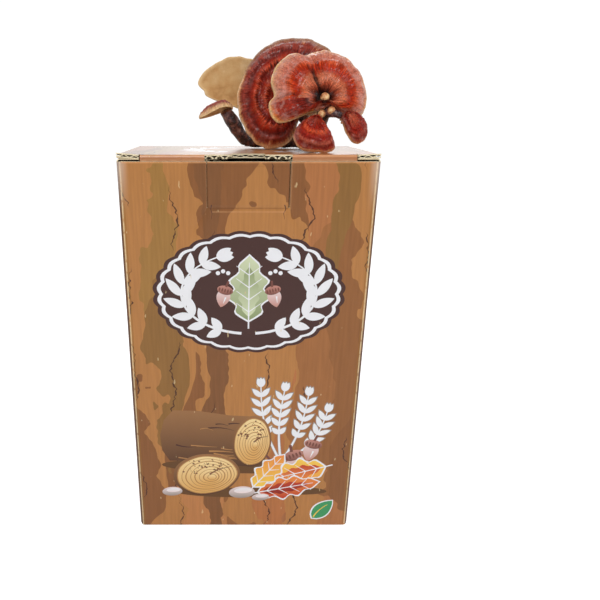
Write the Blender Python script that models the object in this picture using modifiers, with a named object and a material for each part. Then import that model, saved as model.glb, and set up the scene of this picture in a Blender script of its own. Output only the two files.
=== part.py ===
# Reishi mushroom grow kit: a closed corrugated carton with its grow bag inside, and a picked
# reishi cluster that rests on the lid. Metres, +Z up, the front of the carton faces -Y.
import math

import bmesh
import bpy
from mathutils import Matrix, Vector

MM = 0.001

# The carton, outside sizes
WIDTH = 180 * MM
DEPTH = 110 * MM
FRONT_HEIGHT = 308.5 * MM
LID_RISE = 4.4 * MM
BOARD = 3 * MM
GAP = 0.3 * MM
CORNER_RADIUS = 3.5 * MM
FOLD_ROUND = 2.4 * MM
FOOT_ROUND = 1.6 * MM

# Levels from the lid down
LID_TOP = FRONT_HEIGHT + LID_RISE
LID_UNDER = LID_TOP - BOARD
DUST_TOP = LID_UNDER - GAP
DUST_UNDER = DUST_TOP - BOARD
SIDE_TOP = DUST_UNDER - GAP

# Inner faces of the walls
INNER_X = WIDTH / 2 - BOARD
INNER_Y = DEPTH / 2 - BOARD

# The lid's front fold
STRIP_HALF = 74 * MM
TUCK_DEPTH = 42 * MM
TUCK_FRONT = -INNER_Y + GAP
SLOT_HALF = 30 * MM
SLOT_SET_BACK = 1.8 * MM
NOTCH_HALF = 11.5 * MM
NOTCH_SET_BACK = 10 * MM
SLOT_DEPTH = 4 * MM
TUCK_FREE_CORNER = 22 * MM

# The flaps
FLAP_LENGTH = DEPTH / 2
BOTTOM_FREE_CORNER = 8 * MM
DUST_FREE_CORNER = 10 * MM
DUST_REACH = FLAP_LENGTH + 16 * MM

# The lock tab cut in the front wall
TAB_HALF = 28.4 * MM
TAB_HEIGHT = 31 * MM
TAB_CUT = 0.4 * MM
TAB_OPEN_CUT = 0.8 * MM
CREASE_HALF = 0.6 * MM
CREASE_DEPTH = 0.3 * MM

# The bag
BAG_WIDTH = 160 * MM
BAG_DEPTH = 92 * MM
BAG_BLOCK_HEIGHT = 236 * MM
BAG_TOP = 298 * MM
# Over the block: each level, with its width and depth as shares of the block's
BAG_NECK = (
    (256.6 * MM, 0.96, 0.5),
    (286 * MM, 0.9, 0.34),
    (BAG_TOP, 0.88, 0.3),
)

# The cluster's place on the lid
CLUSTER_X = 25 * MM
CLUSTER_FLOOR = LID_TOP + GAP
# Room that the stalks leave round the caps
CAP_ROOM = GAP + 0.1 * MM
# How wide the caps' middle dish and their ridges are, as shares of the radius
DISH_WIDTH = 0.25
RIDGE_WIDTH = 0.06

# How far a cutter passes the faces that it cuts
BEYOND = 5 * MM

# Each cap: where its growth starts, which way its top faces (degrees round from the front and
# up from level), its outline round that point as (degrees, millimetres), and its section.
CAPS = {
    "front_cap": {
        "centre": (27.7, -23.0, 34.3),
        "faces": (4, 20),
        "outline": (
            (-37, 10), (-30, 19.5), (-21, 28), (-13, 31.4), (1, 32.8), (20, 33.8), (38, 36), (60, 38.2),
            (82, 38), (96, 37), (108, 35.4), (117, 39.2), (130, 41), (144, 40.8), (159, 38.1), (171, 34),
            (179, 37.2), (190, 37.3), (198, 36), (204, 33.6), (208, 27), (212, 18), (220, 10), (262, 7),
            (304, 7.5),
        ),
        "half_thickness": 3.6,
        "dome": 5.5,
        "dish": 3.0,
        "curl": 4.0,
        "wave": (1.3, 3, 40),
        "ridges": ((0.42, 0.8), (0.68, 0.9), (0.86, 0.6)),
        "segments": 48,
        "rings": 20,
    },
    "rear_cap": {
        "centre": (2.0, 5.0, 35.5),
        "faces": (-8, 13),
        "outline": (
            (-40, 19), (-24, 26), (-8, 36), (14, 43), (36, 48), (58, 49.5), (80, 46.8), (103, 44),
            (125, 39.4), (150, 35.6), (173, 34.6), (200, 33.8), (224, 35.2), (245, 36.6), (266, 34.6),
            (288, 29), (306, 21),
        ),
        "half_thickness": 4.4,
        "dome": 4.0,
        "dish": 5.0,
        "curl": 3.0,
        "wave": (1.6, 2, 100),
        "ridges": ((0.36, 1.3), (0.6, 1.5), (0.84, 1.4)),
        "segments": 48,
        "rings": 20,
    },
    "left_cap": {
        "centre": (-21.0, 22.0, 39.0),
        "faces": (176, -7),
        "outline": (
            (-36, 15), (-20, 20), (-8, 27), (0, 35), (6, 37), (11, 42), (20, 41.8), (34, 38), (54, 33.6),
            (68, 30), (86, 26.8), (110, 25), (140, 24), (175, 22), (205, 19), (240, 14), (285, 12),
        ),
        "half_thickness": 3.4,
        "dome": 3.5,
        "dish": 0.0,
        "curl": 2.5,
        "wave": (1.2, 3, 10),
        "ridges": ((0.5, 0.7), (0.8, 0.8)),
        "segments": 36,
        "rings": 16,
    },
    "edge_cap": {
        "centre": (-44.6, 8.0, 30.4),
        "faces": (235, 70),
        "outline": ((-53, 18), (-30, 13.5), (0, 10.5), (33, 9.5), (80, 9), (127, 9), (213, 9), (280, 13)),
        "half_thickness": 2.2,
        "dome": 2.2,
        "dish": 0.0,
        "curl": 2.2,
        "wave": (0.7, 2, 0),
        "ridges": ((0.6, 0.4),),
        "segments": 24,
        "rings": 12,
    },
    "middle_small_cap": {
        "centre": (23.6, -26.5, 20.6),
        "faces": (-4, 32),
        "outline": (
            (30, 4.6), (112, 4.6), (170, 7.6), (190, 12.4), (209, 18), (228, 21.4), (250, 22), (272, 21.8),
            (290, 23.5), (301, 23.7), (312, 20), (322, 12), (345, 6.4),
        ),
        "half_thickness": 3.0,
        "dome": 3.0,
        "dish": 0.6,
        "curl": 3.0,
        "wave": (0.6, 2, 30),
        "ridges": ((0.5, 0.7), (0.8, 0.6)),
        "segments": 28,
        "rings": 12,
    },
    "right_small_cap": {
        "centre": (43.9, -31.0, 23.6),
        "faces": (10, 24),
        "outline": (
            (15, 9), (40, 5), (90, 3.4), (180, 3.8), (220, 4.2), (258, 6.4), (272, 11.4), (284, 17.4),
            (298, 20.4), (317, 19.8), (340, 17), (0, 12.6),
        ),
        "half_thickness": 2.8,
        "dome": 2.4,
        "dish": 0.4,
        "curl": 2.4,
        "wave": (0.5, 2, 0),
        "ridges": ((0.6, 0.5),),
        "segments": 28,
        "rings": 12,
    },
}

# Stalks: each stem's points as (x, y, z, radius) in millimetres, from its thick end
FRONT_STEMS = (
    ((25, 6, 3.4, 4.4), (27, -3, 10.4, 4.8), (28.6, -15, 18.6, 5), (28.6, -22, 25, 4.4), (28, -23.4, 30, 3.4)),
    ((28.6, -20, 23.6, 4.2), (27.2, -22, 23.2, 3.6), (25.8, -23.4, 22.8, 3)),
    ((28.8, -21, 24.4, 3.8), (33, -26.6, 26.6, 3.4), (37, -30, 26, 3), (40.6, -31, 24.6, 2.5)),
    ((27, -4, 13, 4.2), (22, -1, 19, 3.8), (17, 3, 24, 3.4)),
)
BUDS = ((27.2, -27, 26, 2.8), (33.6, -29, 28, 2.8))
REAR_STEMS = (
    ((24, 14, 5, 5), (8, 21, 5.4, 5.4), (-12, 22, 5, 5), (-25.5, 20.5, 4.4, 3.6)),
    ((-24, 20, 5.4, 4.8), (-30, 17, 12, 5), (-36, 12, 21, 5.4), (-41, 9, 28, 4.6)),
    ((-10, 22, 6, 4.6), (-14, 22.5, 16, 4.4), (-18, 22.5, 27.5, 3.6)),
)
FRONT_BUD = (28.6, -28.2, 36.6, 3.2)


def clear_scene():
    for item in list(bpy.data.objects):
        bpy.data.objects.remove(item, do_unlink=True)


def new_collection(name, hidden=False):
    made = bpy.data.collections.new(name)
    bpy.context.scene.collection.children.link(made)
    made.hide_render = hidden
    return made


clear_scene()
PARTS = new_collection("reishi_grow_kit")
CUTTERS = new_collection("cutters", hidden=True)


def material(name, colour, roughness):
    made = bpy.data.materials.new(name)
    made.use_nodes = True
    shader = made.node_tree.nodes["Principled BSDF"]
    shader.inputs["Base Color"].default_value = (*colour, 1)
    shader.inputs["Roughness"].default_value = roughness
    return made


PRINTED_BOARD = material("printed_board", (0.42, 0.20, 0.09), 0.35)
PLAIN_BOARD = material("plain_board", (0.55, 0.38, 0.22), 0.8)
BAG_FILM = material("bag_film", (0.72, 0.68, 0.60), 0.3)
LACQUER = material("cap_lacquer", (0.26, 0.05, 0.03), 0.25)
STALK_SKIN = material("stalk_skin", (0.07, 0.02, 0.015), 0.3)


def add_object(name, data, skin=None, helper=False):
    made = bpy.data.objects.new(name, data)
    (CUTTERS if helper else PARTS).objects.link(made)
    if helper:
        made.hide_render = True
        made.display_type = "WIRE"
    if skin:
        made.data.materials.append(skin)
    return made


def add_mesh(name, shape, skin=None, helper=False):
    shape.normal_update()
    data = bpy.data.meshes.new(name)
    shape.to_mesh(data)
    shape.free()
    return add_object(name, data, skin, helper)


def block(low, high):
    low, high = Vector(low), Vector(high)
    shape = bmesh.new()
    place = Matrix.Translation((low + high) / 2) @ Matrix.Diagonal((*(high - low), 1))
    bmesh.ops.create_cube(shape, size=1, matrix=place)
    return shape


def round_edges(shape, chosen, radius, segments=4):
    edges = [edge for edge in shape.edges if chosen(edge.verts[0].co, edge.verts[1].co)]
    bmesh.ops.bevel(shape, geom=edges, offset=radius, segments=segments, affect="EDGES", profile=0.5)


def cut(target, cutter, operation="DIFFERENCE"):
    boolean = target.modifiers.new(operation.lower(), "BOOLEAN")
    boolean.operation = operation
    boolean.solver = "EXACT"
    boolean.object = cutter


def cut_block(target, low, high):
    cut(target, add_mesh(target.name + "_cutter", block(low, high), helper=True))


def flat_plate(name, outline, low, high, skin):
    curve = bpy.data.curves.new(name, "CURVE")
    curve.dimensions = "2D"
    curve.fill_mode = "BOTH"
    curve.extrude = (high - low) / 2
    spline = curve.splines.new("POLY")
    spline.points.add(len(outline) - 1)
    for point, (x, y) in zip(spline.points, outline):
        point.co = (x, y, 0, 1)
    spline.use_cyclic_u = True
    made = add_object(name, curve, skin)
    made.location.z = (high + low) / 2
    return made


def settled_mesh(source, name):
    bpy.context.view_layer.update()
    graph = bpy.context.evaluated_depsgraph_get()
    data = bpy.data.meshes.new_from_object(source.evaluated_get(graph))
    shape = bmesh.new()
    shape.from_mesh(data)
    bmesh.ops.remove_doubles(shape, verts=shape.verts, dist=1e-6)
    shape.to_mesh(data)
    shape.free()
    made = add_object(name, data, helper=True)
    made.matrix_world = source.matrix_world
    return made


def mirrored(outline):
    return [(-x, y) for x, y in reversed(outline)]


def is_upright(a, b):
    return abs(a.x - b.x) < 1e-6 and abs(a.y - b.y) < 1e-6


def is_front_or_back_foot(a, b):
    return max(a.z, b.z) < 1e-6 and abs(a.y) + abs(b.y) > DEPTH - 1e-5


def make_carton_body():
    shape = block((-WIDTH / 2, -DEPTH / 2, 0), (WIDTH / 2, DEPTH / 2, DUST_TOP))
    round_edges(shape, is_upright, CORNER_RADIUS)
    round_edges(shape, is_front_or_back_foot, FOOT_ROUND, 3)
    body = add_mesh("carton_body", shape, PRINTED_BOARD)
    cut_block(body, (-INNER_X, -INNER_Y, BOARD), (INNER_X, INNER_Y, LID_TOP))
    cut_block(body, (-WIDTH, -DEPTH, FRONT_HEIGHT), (WIDTH, -INNER_Y + GAP / 2, LID_TOP))
    cut_block(body, (-WIDTH, -INNER_Y, SIDE_TOP), (WIDTH, INNER_Y, LID_TOP + BEYOND))

    # The outer bottom flaps meet along the middle and lie free under the side walls.
    cut_block(body, (-WIDTH, -GAP, -BEYOND), (WIDTH, GAP, BOARD + GAP / 3))
    for side in (-1, 1):
        wall = sorted((side * (INNER_X - MM), side * WIDTH))
        cut_block(body, (wall[0], -INNER_Y, BOARD - GAP), (wall[1], INNER_Y, BOARD))

    # The lock tab: a tight cut on the left, an open one on the right, a crease below.
    tab_foot = FRONT_HEIGHT - TAB_HEIGHT
    for edge, width in ((-TAB_HALF, TAB_CUT), (TAB_HALF, TAB_OPEN_CUT)):
        low = (edge - width / 2, -DEPTH, tab_foot)
        cut_block(body, low, (edge + width / 2, -INNER_Y + BEYOND, LID_TOP))
    reach = TAB_HALF - MM
    low = (-reach, -DEPTH, tab_foot - CREASE_HALF)
    cut_block(body, low, (reach, -DEPTH / 2 + CREASE_DEPTH, tab_foot + CREASE_HALF))
    return body


def make_bottom_flaps():
    near, far = -INNER_X + GAP, -INNER_X + FLAP_LENGTH
    side = INNER_Y - GAP
    free = BOTTOM_FREE_CORNER
    outline = [
        (near, -side), (far - free, -side), (far, -side + free),
        (far, side - free), (far - free, side), (near, side),
    ]
    low = BOARD + GAP
    flat_plate("bottom_flap_left", outline, low, low + BOARD, PLAIN_BOARD)
    flat_plate("bottom_flap_right", mirrored(outline), low, low + BOARD, PLAIN_BOARD)


def make_dust_flaps():
    shoulder = STRIP_HALF + GAP * 2
    behind_tuck = TUCK_FRONT + BOARD + GAP
    near, far = -WIDTH / 2, -WIDTH / 2 + DUST_REACH
    side = INNER_Y - GAP
    free = DUST_FREE_CORNER
    outline = [
        (near, -side), (-shoulder, -side), (-shoulder, behind_tuck), (far - free, behind_tuck),
        (far, behind_tuck + free), (far, side - free), (far - free, side), (near, side),
    ]
    flat_plate("dust_flap_left", outline, DUST_UNDER, DUST_TOP, PRINTED_BOARD)
    flat_plate("dust_flap_right", mirrored(outline), DUST_UNDER, DUST_TOP, PRINTED_BOARD)


def is_back_top(a, b):
    return min(a.z, b.z) > LID_TOP - 1e-6 and min(a.y, b.y) > DEPTH / 2 - 1e-6


def is_front_top(a, b):
    return min(a.z, b.z) > LID_TOP - 1e-6 and max(a.y, b.y) < TUCK_FRONT + 1e-6


def make_lid():
    # The top panel, hinged on the back wall. Between its square front corners a strip folds
    # down over the front edge into the tuck flap.
    fold_back = TUCK_FRONT + 2 * BOARD
    panel = block((-WIDTH / 2, fold_back, LID_UNDER), (WIDTH / 2, DEPTH / 2, LID_TOP))
    round_edges(panel, is_back_top, FOLD_ROUND)
    lid = add_mesh("lid", panel, PRINTED_BOARD)
    for side in (-1, 1):
        across = sorted((side * STRIP_HALF, side * WIDTH / 2))
        corner = block((across[0], -INNER_Y, LID_UNDER), (across[1], fold_back + MM, LID_TOP))
        cut(lid, add_mesh("lid_corner", corner, helper=True), "UNION")

    low = (-STRIP_HALF, TUCK_FRONT, LID_UNDER - TUCK_DEPTH)
    fold = block(low, (STRIP_HALF, fold_back + MM, LID_TOP))
    round_edges(fold, is_front_top, FOLD_ROUND)
    fold = add_mesh("lid_fold", fold, helper=True)
    cut_block(fold, (-WIDTH, TUCK_FRONT + BOARD, 0), (WIDTH, DEPTH, LID_UNDER))
    cut(lid, fold, "UNION")

    # The slot through the fold and the deeper thumb notch in its middle.
    slot_low = FRONT_HEIGHT - SLOT_DEPTH
    above = LID_TOP + BEYOND
    slot, notch = (-SLOT_HALF, -DEPTH, slot_low), (-NOTCH_HALF, -DEPTH, slot_low)
    cut_block(lid, slot, (SLOT_HALF, TUCK_FRONT + BOARD + GAP, LID_UNDER))
    cut_block(lid, slot, (SLOT_HALF, TUCK_FRONT + SLOT_SET_BACK, above))
    cut_block(lid, notch, (NOTCH_HALF, TUCK_FRONT + NOTCH_SET_BACK, above))

    # The tuck flap's free corners are cut off.
    half = TUCK_FREE_CORNER / 2
    for side in (-1, 1):
        corner = (side * STRIP_HALF, 0, LID_UNDER - TUCK_DEPTH)
        turn = Matrix.Translation(corner) @ Matrix.Rotation(math.radians(45), 4, "Y")
        wedge = block((-half, -DEPTH, -half), (half, 0, half))
        bmesh.ops.transform(wedge, matrix=turn, verts=wedge.verts)
        cut(lid, add_mesh("tuck_corner_cutter", wedge, helper=True))
    return lid


def make_grow_bag():
    # A filled bag whose film is gathered over the block into a folded top.
    foot = 2 * BOARD + 2 * GAP
    shoulder = foot + BAG_BLOCK_HEIGHT
    shape = block((-BAG_WIDTH / 2, -BAG_DEPTH / 2, foot), (BAG_WIDTH / 2, BAG_DEPTH / 2, shoulder))
    top = max(shape.faces, key=lambda face: face.calc_center_median().z)
    for level, wide, deep in BAG_NECK:
        made = bmesh.ops.extrude_discrete_faces(shape, faces=[top])
        top = made["faces"][0]
        for vert in top.verts:
            vert.co.x = math.copysign(wide * BAG_WIDTH / 2, vert.co.x)
            vert.co.y = math.copysign(deep * BAG_DEPTH / 2, vert.co.y)
            vert.co.z = level
    bmesh.ops.subdivide_edges(shape, edges=shape.edges[:], cuts=1, use_grid_fill=True)
    bag = add_mesh("grow_bag", shape, BAG_FILM)
    soft = bag.modifiers.new("soft", "SUBSURF")
    soft.levels = soft.render_levels = 1
    for face in bag.data.polygons:
        face.use_smooth = True
    return bag


def smooth_radius(outline, degrees):
    # The outline's radius in a direction, by a smooth curve through its points.
    points = sorted((angle % 360, radius) for angle, radius in outline)
    count = len(points)
    degrees %= 360
    after = next((i for i, (angle, _) in enumerate(points) if angle > degrees), 0)
    angles, radii = zip(*(points[(after + step) % count] for step in (-2, -1, 0, 1)))
    span = (angles[2] - angles[1]) % 360
    share = ((degrees - angles[1]) % 360) / span
    before, behind = (angles[1] - angles[0]) % 360, (angles[3] - angles[2]) % 360
    leave = (radii[2] - radii[0]) / (span + before) * span
    arrive = (radii[3] - radii[1]) / (span + behind) * span
    square, cube = share**2, share**3
    start = (2 * cube - 3 * square + 1) * radii[1] + (cube - 2 * square + share) * leave
    return start + (3 * square - 2 * cube) * radii[2] + (cube - square) * arrive


def facing(azimuth, elevation):
    # The cap's own axes: right and up as seen by someone who looks at its top, and its normal.
    turn, rise = math.radians(azimuth), math.radians(elevation)
    normal = Vector((math.sin(turn) * math.cos(rise), -math.cos(turn) * math.cos(rise), math.sin(rise)))
    up = (Vector((0, 0, 1)) - normal * normal.z).normalized()
    return up.cross(normal), up, normal


def cap_shape(spec, grow=0.0):
    # A ball whose every ring is spread to the outline and whose section gets dome, rim and ridges.
    right, up, normal = facing(*spec["faces"])
    centre = cluster_point(spec["centre"])
    height, waves, phase = spec["wave"]
    shape = bmesh.new()
    bmesh.ops.create_uvsphere(shape, u_segments=spec["segments"], v_segments=spec["rings"], radius=1)
    for vert in shape.verts:
        share = min(1, math.hypot(vert.co.x, vert.co.y))
        angle = math.atan2(vert.co.y, vert.co.x)
        reach = smooth_radius(spec["outline"], math.degrees(angle))
        middle = spec["dome"] * (1 - share**2) - spec["curl"] * share**6
        middle -= spec["dish"] * math.exp(-((share / DISH_WIDTH) ** 2))
        middle += height * share**2 * math.sin(waves * angle + math.radians(phase))
        side = math.copysign(math.sqrt(abs(vert.co.z)), vert.co.z)
        if vert.co.z > 0:
            for at, rise in spec["ridges"]:
                middle += rise * math.exp(-(((share - at) / RIDGE_WIDTH) ** 2))
        lift = middle + side * spec["half_thickness"]
        flat = right * math.cos(angle) + up * math.sin(angle)
        vert.co = centre + (flat * share * reach + normal * lift) * MM
    bmesh.ops.recalc_face_normals(shape, faces=shape.faces)
    shape.normal_update()
    for vert in shape.verts:
        vert.co += vert.normal * grow
    return shape


def cluster_point(place):
    x, y, z = place
    return Vector((CLUSTER_X + x * MM, y * MM, CLUSTER_FLOOR + z * MM))


def make_cap(name):
    made = add_mesh(name, cap_shape(CAPS[name]), LACQUER)
    for face in made.data.polygons:
        face.use_smooth = True
    return made


def stem_mesh(name, points):
    curve = bpy.data.curves.new(name, "CURVE")
    curve.dimensions = "3D"
    curve.bevel_depth = MM
    curve.bevel_resolution = 2
    curve.resolution_u = 2
    curve.use_fill_caps = True
    spline = curve.splines.new("BEZIER")
    spline.bezier_points.add(len(points) - 1)
    for knot, (x, y, z, radius) in zip(spline.bezier_points, points):
        knot.co = cluster_point((x, y, z))
        knot.radius = radius
        knot.handle_left_type = knot.handle_right_type = "AUTO"
    source = add_object(name + "_curve", curve, helper=True)
    made = settled_mesh(source, name)
    bpy.data.objects.remove(source, do_unlink=True)
    return made


def bud_mesh(name, bud, grow=0.0):
    x, y, z, radius = bud
    shape = bmesh.new()
    place = Matrix.Translation(cluster_point((x, y, z)))
    bmesh.ops.create_uvsphere(shape, u_segments=12, v_segments=8, radius=(radius + grow) * MM, matrix=place)
    return add_mesh(name, shape, helper=True)


def make_stalk(name, stems, buds=()):
    pieces = [stem_mesh(f"{name}_stem_{i}", points) for i, points in enumerate(stems)]
    pieces += [bud_mesh(f"{name}_bud_{i}", bud) for i, bud in enumerate(buds)]
    made = add_object(name, pieces[0].data, STALK_SKIN)
    bpy.data.objects.remove(pieces[0], do_unlink=True)
    for piece in pieces[1:]:
        cut(made, piece, "UNION")
    for cap in CAPS:
        grown = add_mesh(f"{name}_{cap}_room", cap_shape(CAPS[cap], CAP_ROOM), helper=True)
        cut(made, grown)
    return made


def make_cluster():
    for name in CAPS:
        make_cap(name)
    cut(bpy.data.objects["front_cap"], bud_mesh("front_cap_bud", FRONT_BUD), "UNION")
    make_stalk("front_stalk", FRONT_STEMS, BUDS)
    make_stalk("rear_stalk", REAR_STEMS)


make_carton_body()
make_bottom_flaps()
make_dust_flaps()
make_lid()
make_grow_bag()
make_cluster()
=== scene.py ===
# Reishi mushroom grow kit: the looks of its printed carton and of the reishi cluster on the lid
import math
import random

import bmesh
import bpy
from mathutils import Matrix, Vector, noise
from mathutils.geometry import delaunay_2d_cdt


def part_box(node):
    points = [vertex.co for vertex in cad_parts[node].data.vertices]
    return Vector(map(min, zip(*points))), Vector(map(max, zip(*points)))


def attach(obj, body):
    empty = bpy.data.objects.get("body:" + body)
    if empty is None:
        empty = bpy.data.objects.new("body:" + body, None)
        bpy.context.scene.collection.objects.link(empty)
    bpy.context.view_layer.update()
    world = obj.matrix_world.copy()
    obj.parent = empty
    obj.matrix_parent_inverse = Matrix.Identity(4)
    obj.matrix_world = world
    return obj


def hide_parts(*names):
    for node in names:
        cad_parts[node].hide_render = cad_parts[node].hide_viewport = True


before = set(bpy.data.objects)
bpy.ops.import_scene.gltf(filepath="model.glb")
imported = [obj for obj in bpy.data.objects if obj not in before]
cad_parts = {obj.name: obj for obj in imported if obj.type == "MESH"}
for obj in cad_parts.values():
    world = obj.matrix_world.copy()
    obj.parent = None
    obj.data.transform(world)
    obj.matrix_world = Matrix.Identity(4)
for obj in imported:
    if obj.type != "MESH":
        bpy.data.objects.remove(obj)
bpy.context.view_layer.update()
bpy.ops.object.select_all(action="DESELECT")
mm = 0.001
_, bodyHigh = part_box("carton_body")
lidLow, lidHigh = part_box("lid")
halfWidth, halfDepth = bodyHigh.x, bodyHigh.y
lidTop = lidHigh.z
print("frame loaded,", len(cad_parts), "nodes")


# Small helpers


def tint(red, green, blue):
    # A screen colour, 0 to 255, as the light values that Blender works in
    def linear(value):
        value /= 255
        return value / 12.92 if value <= 0.04045 else ((value + 0.055) / 1.055) ** 2.4

    return (linear(red), linear(green), linear(blue), 1.0)


def smoothStep(low, high, value):
    share = min(1.0, max(0.0, (value - low) / (high - low)))
    return share * share * (3 - 2 * share)


def pick(piece):
    bpy.ops.object.select_all(action="DESELECT")
    piece.select_set(True)
    bpy.context.view_layer.objects.active = piece


def joined(name, pieces):
    pick(pieces[0])
    for piece in pieces[1:]:
        piece.select_set(True)
    if len(pieces) > 1:
        bpy.ops.object.join()
    made = bpy.context.view_layer.objects.active
    made.name = made.data.name = name
    return made


def applied(piece, kind, **values):
    # Adds a modifier with these values and applies it
    pick(piece)
    modifier = piece.modifiers.new(kind.lower(), kind)
    for label, value in values.items():
        setattr(modifier, label, value)
    bpy.ops.object.modifier_apply(modifier=modifier.name)
    return piece


def setSkins(piece, *skins):
    piece.data.materials.clear()
    for skin in skins:
        piece.data.materials.append(skin)


# Camera, floor and light

view = {
    "place": (-0.0148, -0.4181, 0.3385),
    "pitchDown": 19.567,
    "focalPixels": 521.5,
    "axisPixel": 226.8,
    "pictureWidth": 600,
    "sensor": 36.0,
}
studio = {
    "floorRadius": 9.0,
    "floorTones": ((0.3, (244, 244, 243)), (0.7, (248, 248, 247))),
    "skyForEye": 1.04,
    "skyForLight": 0.36,
    "floorGlow": 0.68,
    # What reflections see: a dim room, and a bright wall behind that fades to the right
    "shineRoom": 0.28,
    "shineWall": (0.62, 0.14),
    "wallAcross": (0.36, -0.1),
    "wallBehind": (-0.1, 0.5),
    "lights": {
        "key": ((-0.5, -1.25, 1.75), 20, 1.1),
        "fill": ((1.4, -0.7, 0.9), 8, 1.6),
        "rim": ((0.3, 1.6, 1.3), 7, 1.2),
    },
}


def makeCamera():
    data = bpy.data.cameras.new("camera")
    data.sensor_width = view["sensor"]
    data.lens = view["focalPixels"] / view["pictureWidth"] * view["sensor"]
    data.shift_x = 0.5 - view["axisPixel"] / view["pictureWidth"]
    data.clip_start = 0.01
    camera = bpy.data.objects.new("camera", data)
    camera.location = view["place"]
    camera.rotation_euler = (math.radians(90 - view["pitchDown"]), 0, 0)
    bpy.context.scene.collection.objects.link(camera)
    bpy.context.scene.camera = camera


def makeLight(name, place, power, size):
    data = bpy.data.lights.new(name, "AREA")
    data.energy = power
    data.size = size
    lamp = bpy.data.objects.new(name, data)
    lamp.location = place
    target = Vector((0, 0, lidTop / 2))
    lamp.rotation_euler = (target - lamp.location).to_track_quat("-Z", "Y").to_euler()
    bpy.context.scene.collection.objects.link(lamp)


def makeSky():
    world = bpy.data.worlds.new("studio")
    bpy.context.scene.world = world
    world.use_nodes = True
    tree = world.node_tree
    sky = tree.nodes["Background"].inputs
    across, away, _ = split(source(tree, "TexCoord", "Generated"))
    least, more = studio["shineWall"]
    wall = between(across, *studio["wallAcross"]) * more + least
    shine = between(away, *studio["wallBehind"]) * wall + studio["shineRoom"]
    dim = studio["skyForLight"]
    seen = source(tree, "LightPath", "Is Glossy Ray") * (shine - dim) + dim
    toEye = source(tree, "LightPath", "Is Camera Ray")
    feed((1, 1, 1, 1), sky["Color"])
    feed(toEye * (studio["skyForEye"] - seen) + seen, sky["Strength"])


def makeFloor():
    bpy.ops.mesh.primitive_circle_add(vertices=96, radius=studio["floorRadius"], fill_type="NGON")
    floor = bpy.context.object
    floor.name = "floor"
    skin = newSkin("paleFloor", Roughness=0.9, Emission_Color=(1, 1, 1, 1))
    glow = source(skin.node_tree, "LightPath", "Is Camera Ray") * studio["floorGlow"]
    mist = noiseOn(objectPlace(skin), 1.5, detail=1)
    setSkins(floor, dress(skin, Base_Color=rampOf(mist, studio["floorTones"]), Emission_Strength=glow))


def makeStudio():
    bpy.context.scene.view_settings.view_transform = "Standard"
    makeSky()
    for name, (place, power, size) in studio["lights"].items():
        makeLight(name, place, power, size)
    makeFloor()


# Node helpers


class Wire:
    # A value in a shader. Sums and products with it add math nodes to its tree.
    def __init__(self, socket):
        self.socket, self.tree = socket, socket.id_data

    def by(self, operation, *others, clamp=False):
        made = addNode(self.tree, "Math", operation=operation, use_clamp=clamp)
        for value, socket in zip((self, *others), made.inputs):
            feed(value, socket)
        return Wire(made.outputs[0])

    def __add__(self, other):
        return self.by("ADD", other)

    def __sub__(self, other):
        return self.by("SUBTRACT", other)

    def __rsub__(self, other):
        return self.by("MULTIPLY_ADD", -1.0, other)

    def __mul__(self, other):
        return self.by("MULTIPLY", other)

    def __truediv__(self, other):
        return self.by("DIVIDE", other)

    def __abs__(self):
        return self.by("ABSOLUTE")


def addNode(tree, kind, **settings):
    made = tree.nodes.new("ShaderNode" + kind)
    for name, value in settings.items():
        setattr(made, name, value)
    return made


def feed(value, socket):
    # A link from a wire, or a fixed number or colour
    if isinstance(value, Wire):
        value.tree.links.new(value.socket, socket)
    else:
        socket.default_value = value


def source(tree, kind, output, **settings):
    # A wire from a node that takes nothing in
    return Wire(addNode(tree, kind, **settings).outputs[output])


def wired(kind, feeds, output=0, **settings):
    # Adds a node beside what feeds it, and gives one of its outputs
    tree = next(value.tree for value in feeds.values() if isinstance(value, Wire))
    made = addNode(tree, kind, **settings)
    for key, value in feeds.items():
        feed(value, made.inputs[key])
    return Wire(made.outputs[output])


def stretched(vector, factors):
    return wired("VectorMath", {0: vector, 1: factors}, operation="MULTIPLY")


def combine(x, y, z=0.0):
    return wired("CombineXYZ", {"X": x, "Y": y, "Z": z})


def split(vector):
    return [Wire(socket) for socket in wired("SeparateXYZ", {0: vector}).socket.node.outputs]


def mixed(share, first, second, kind="MIX"):
    feeds = {"Factor": share, 6: first, 7: second}
    return wired("Mix", feeds, 2, data_type="RGBA", blend_type=kind)


def painted(colour, layers):
    # Lays screen colours over a colour, each with its own share
    for tone, share in layers:
        colour = mixed(share, colour, tint(*tone))
    return colour


def rampOf(value, stops, steps=False):
    # Each stop is a place with a screen colour, or with a plain factor
    made = addNode(value.tree, "ValToRGB")
    ramp = made.color_ramp
    ramp.interpolation = "CONSTANT" if steps else "LINEAR"
    while len(ramp.elements) < len(stops):
        ramp.elements.new(0.5)
    for element, (place, shade) in zip(ramp.elements, stops):
        element.position = place
        element.color = tint(*shade) if isinstance(shade, tuple) else (shade, shade, shade, 1)
    feed(value, made.inputs[0])
    return Wire(made.outputs[0])


def between(value, low, high):
    # 0 below low, 1 above high, smooth in between
    feeds = {"Value": value, "From Min": low, "From Max": high}
    return wired("MapRange", feeds, interpolation_type="SMOOTHSTEP")


def near(value, middle, half):
    # A line about the middle value: half at its heart, 0 from half away on
    return abs(value - middle).by("MULTIPLY_ADD", -1.0, half, clamp=True)


def noiseOn(vector, scale=1.0, detail=2.0, rough=0.5, flat=False):
    feeds = {"Vector": vector, "Scale": scale, "Detail": detail, "Roughness": rough}
    return wired("TexNoise", feeds, "Fac", noise_dimensions="2D" if flat else "3D")


def objectPlace(skin):
    return source(skin.node_tree, "TexCoord", "Object")


def attributeOf(skin, name, output="Vector"):
    return source(skin.node_tree, "Attribute", output, attribute_name=name)


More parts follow.
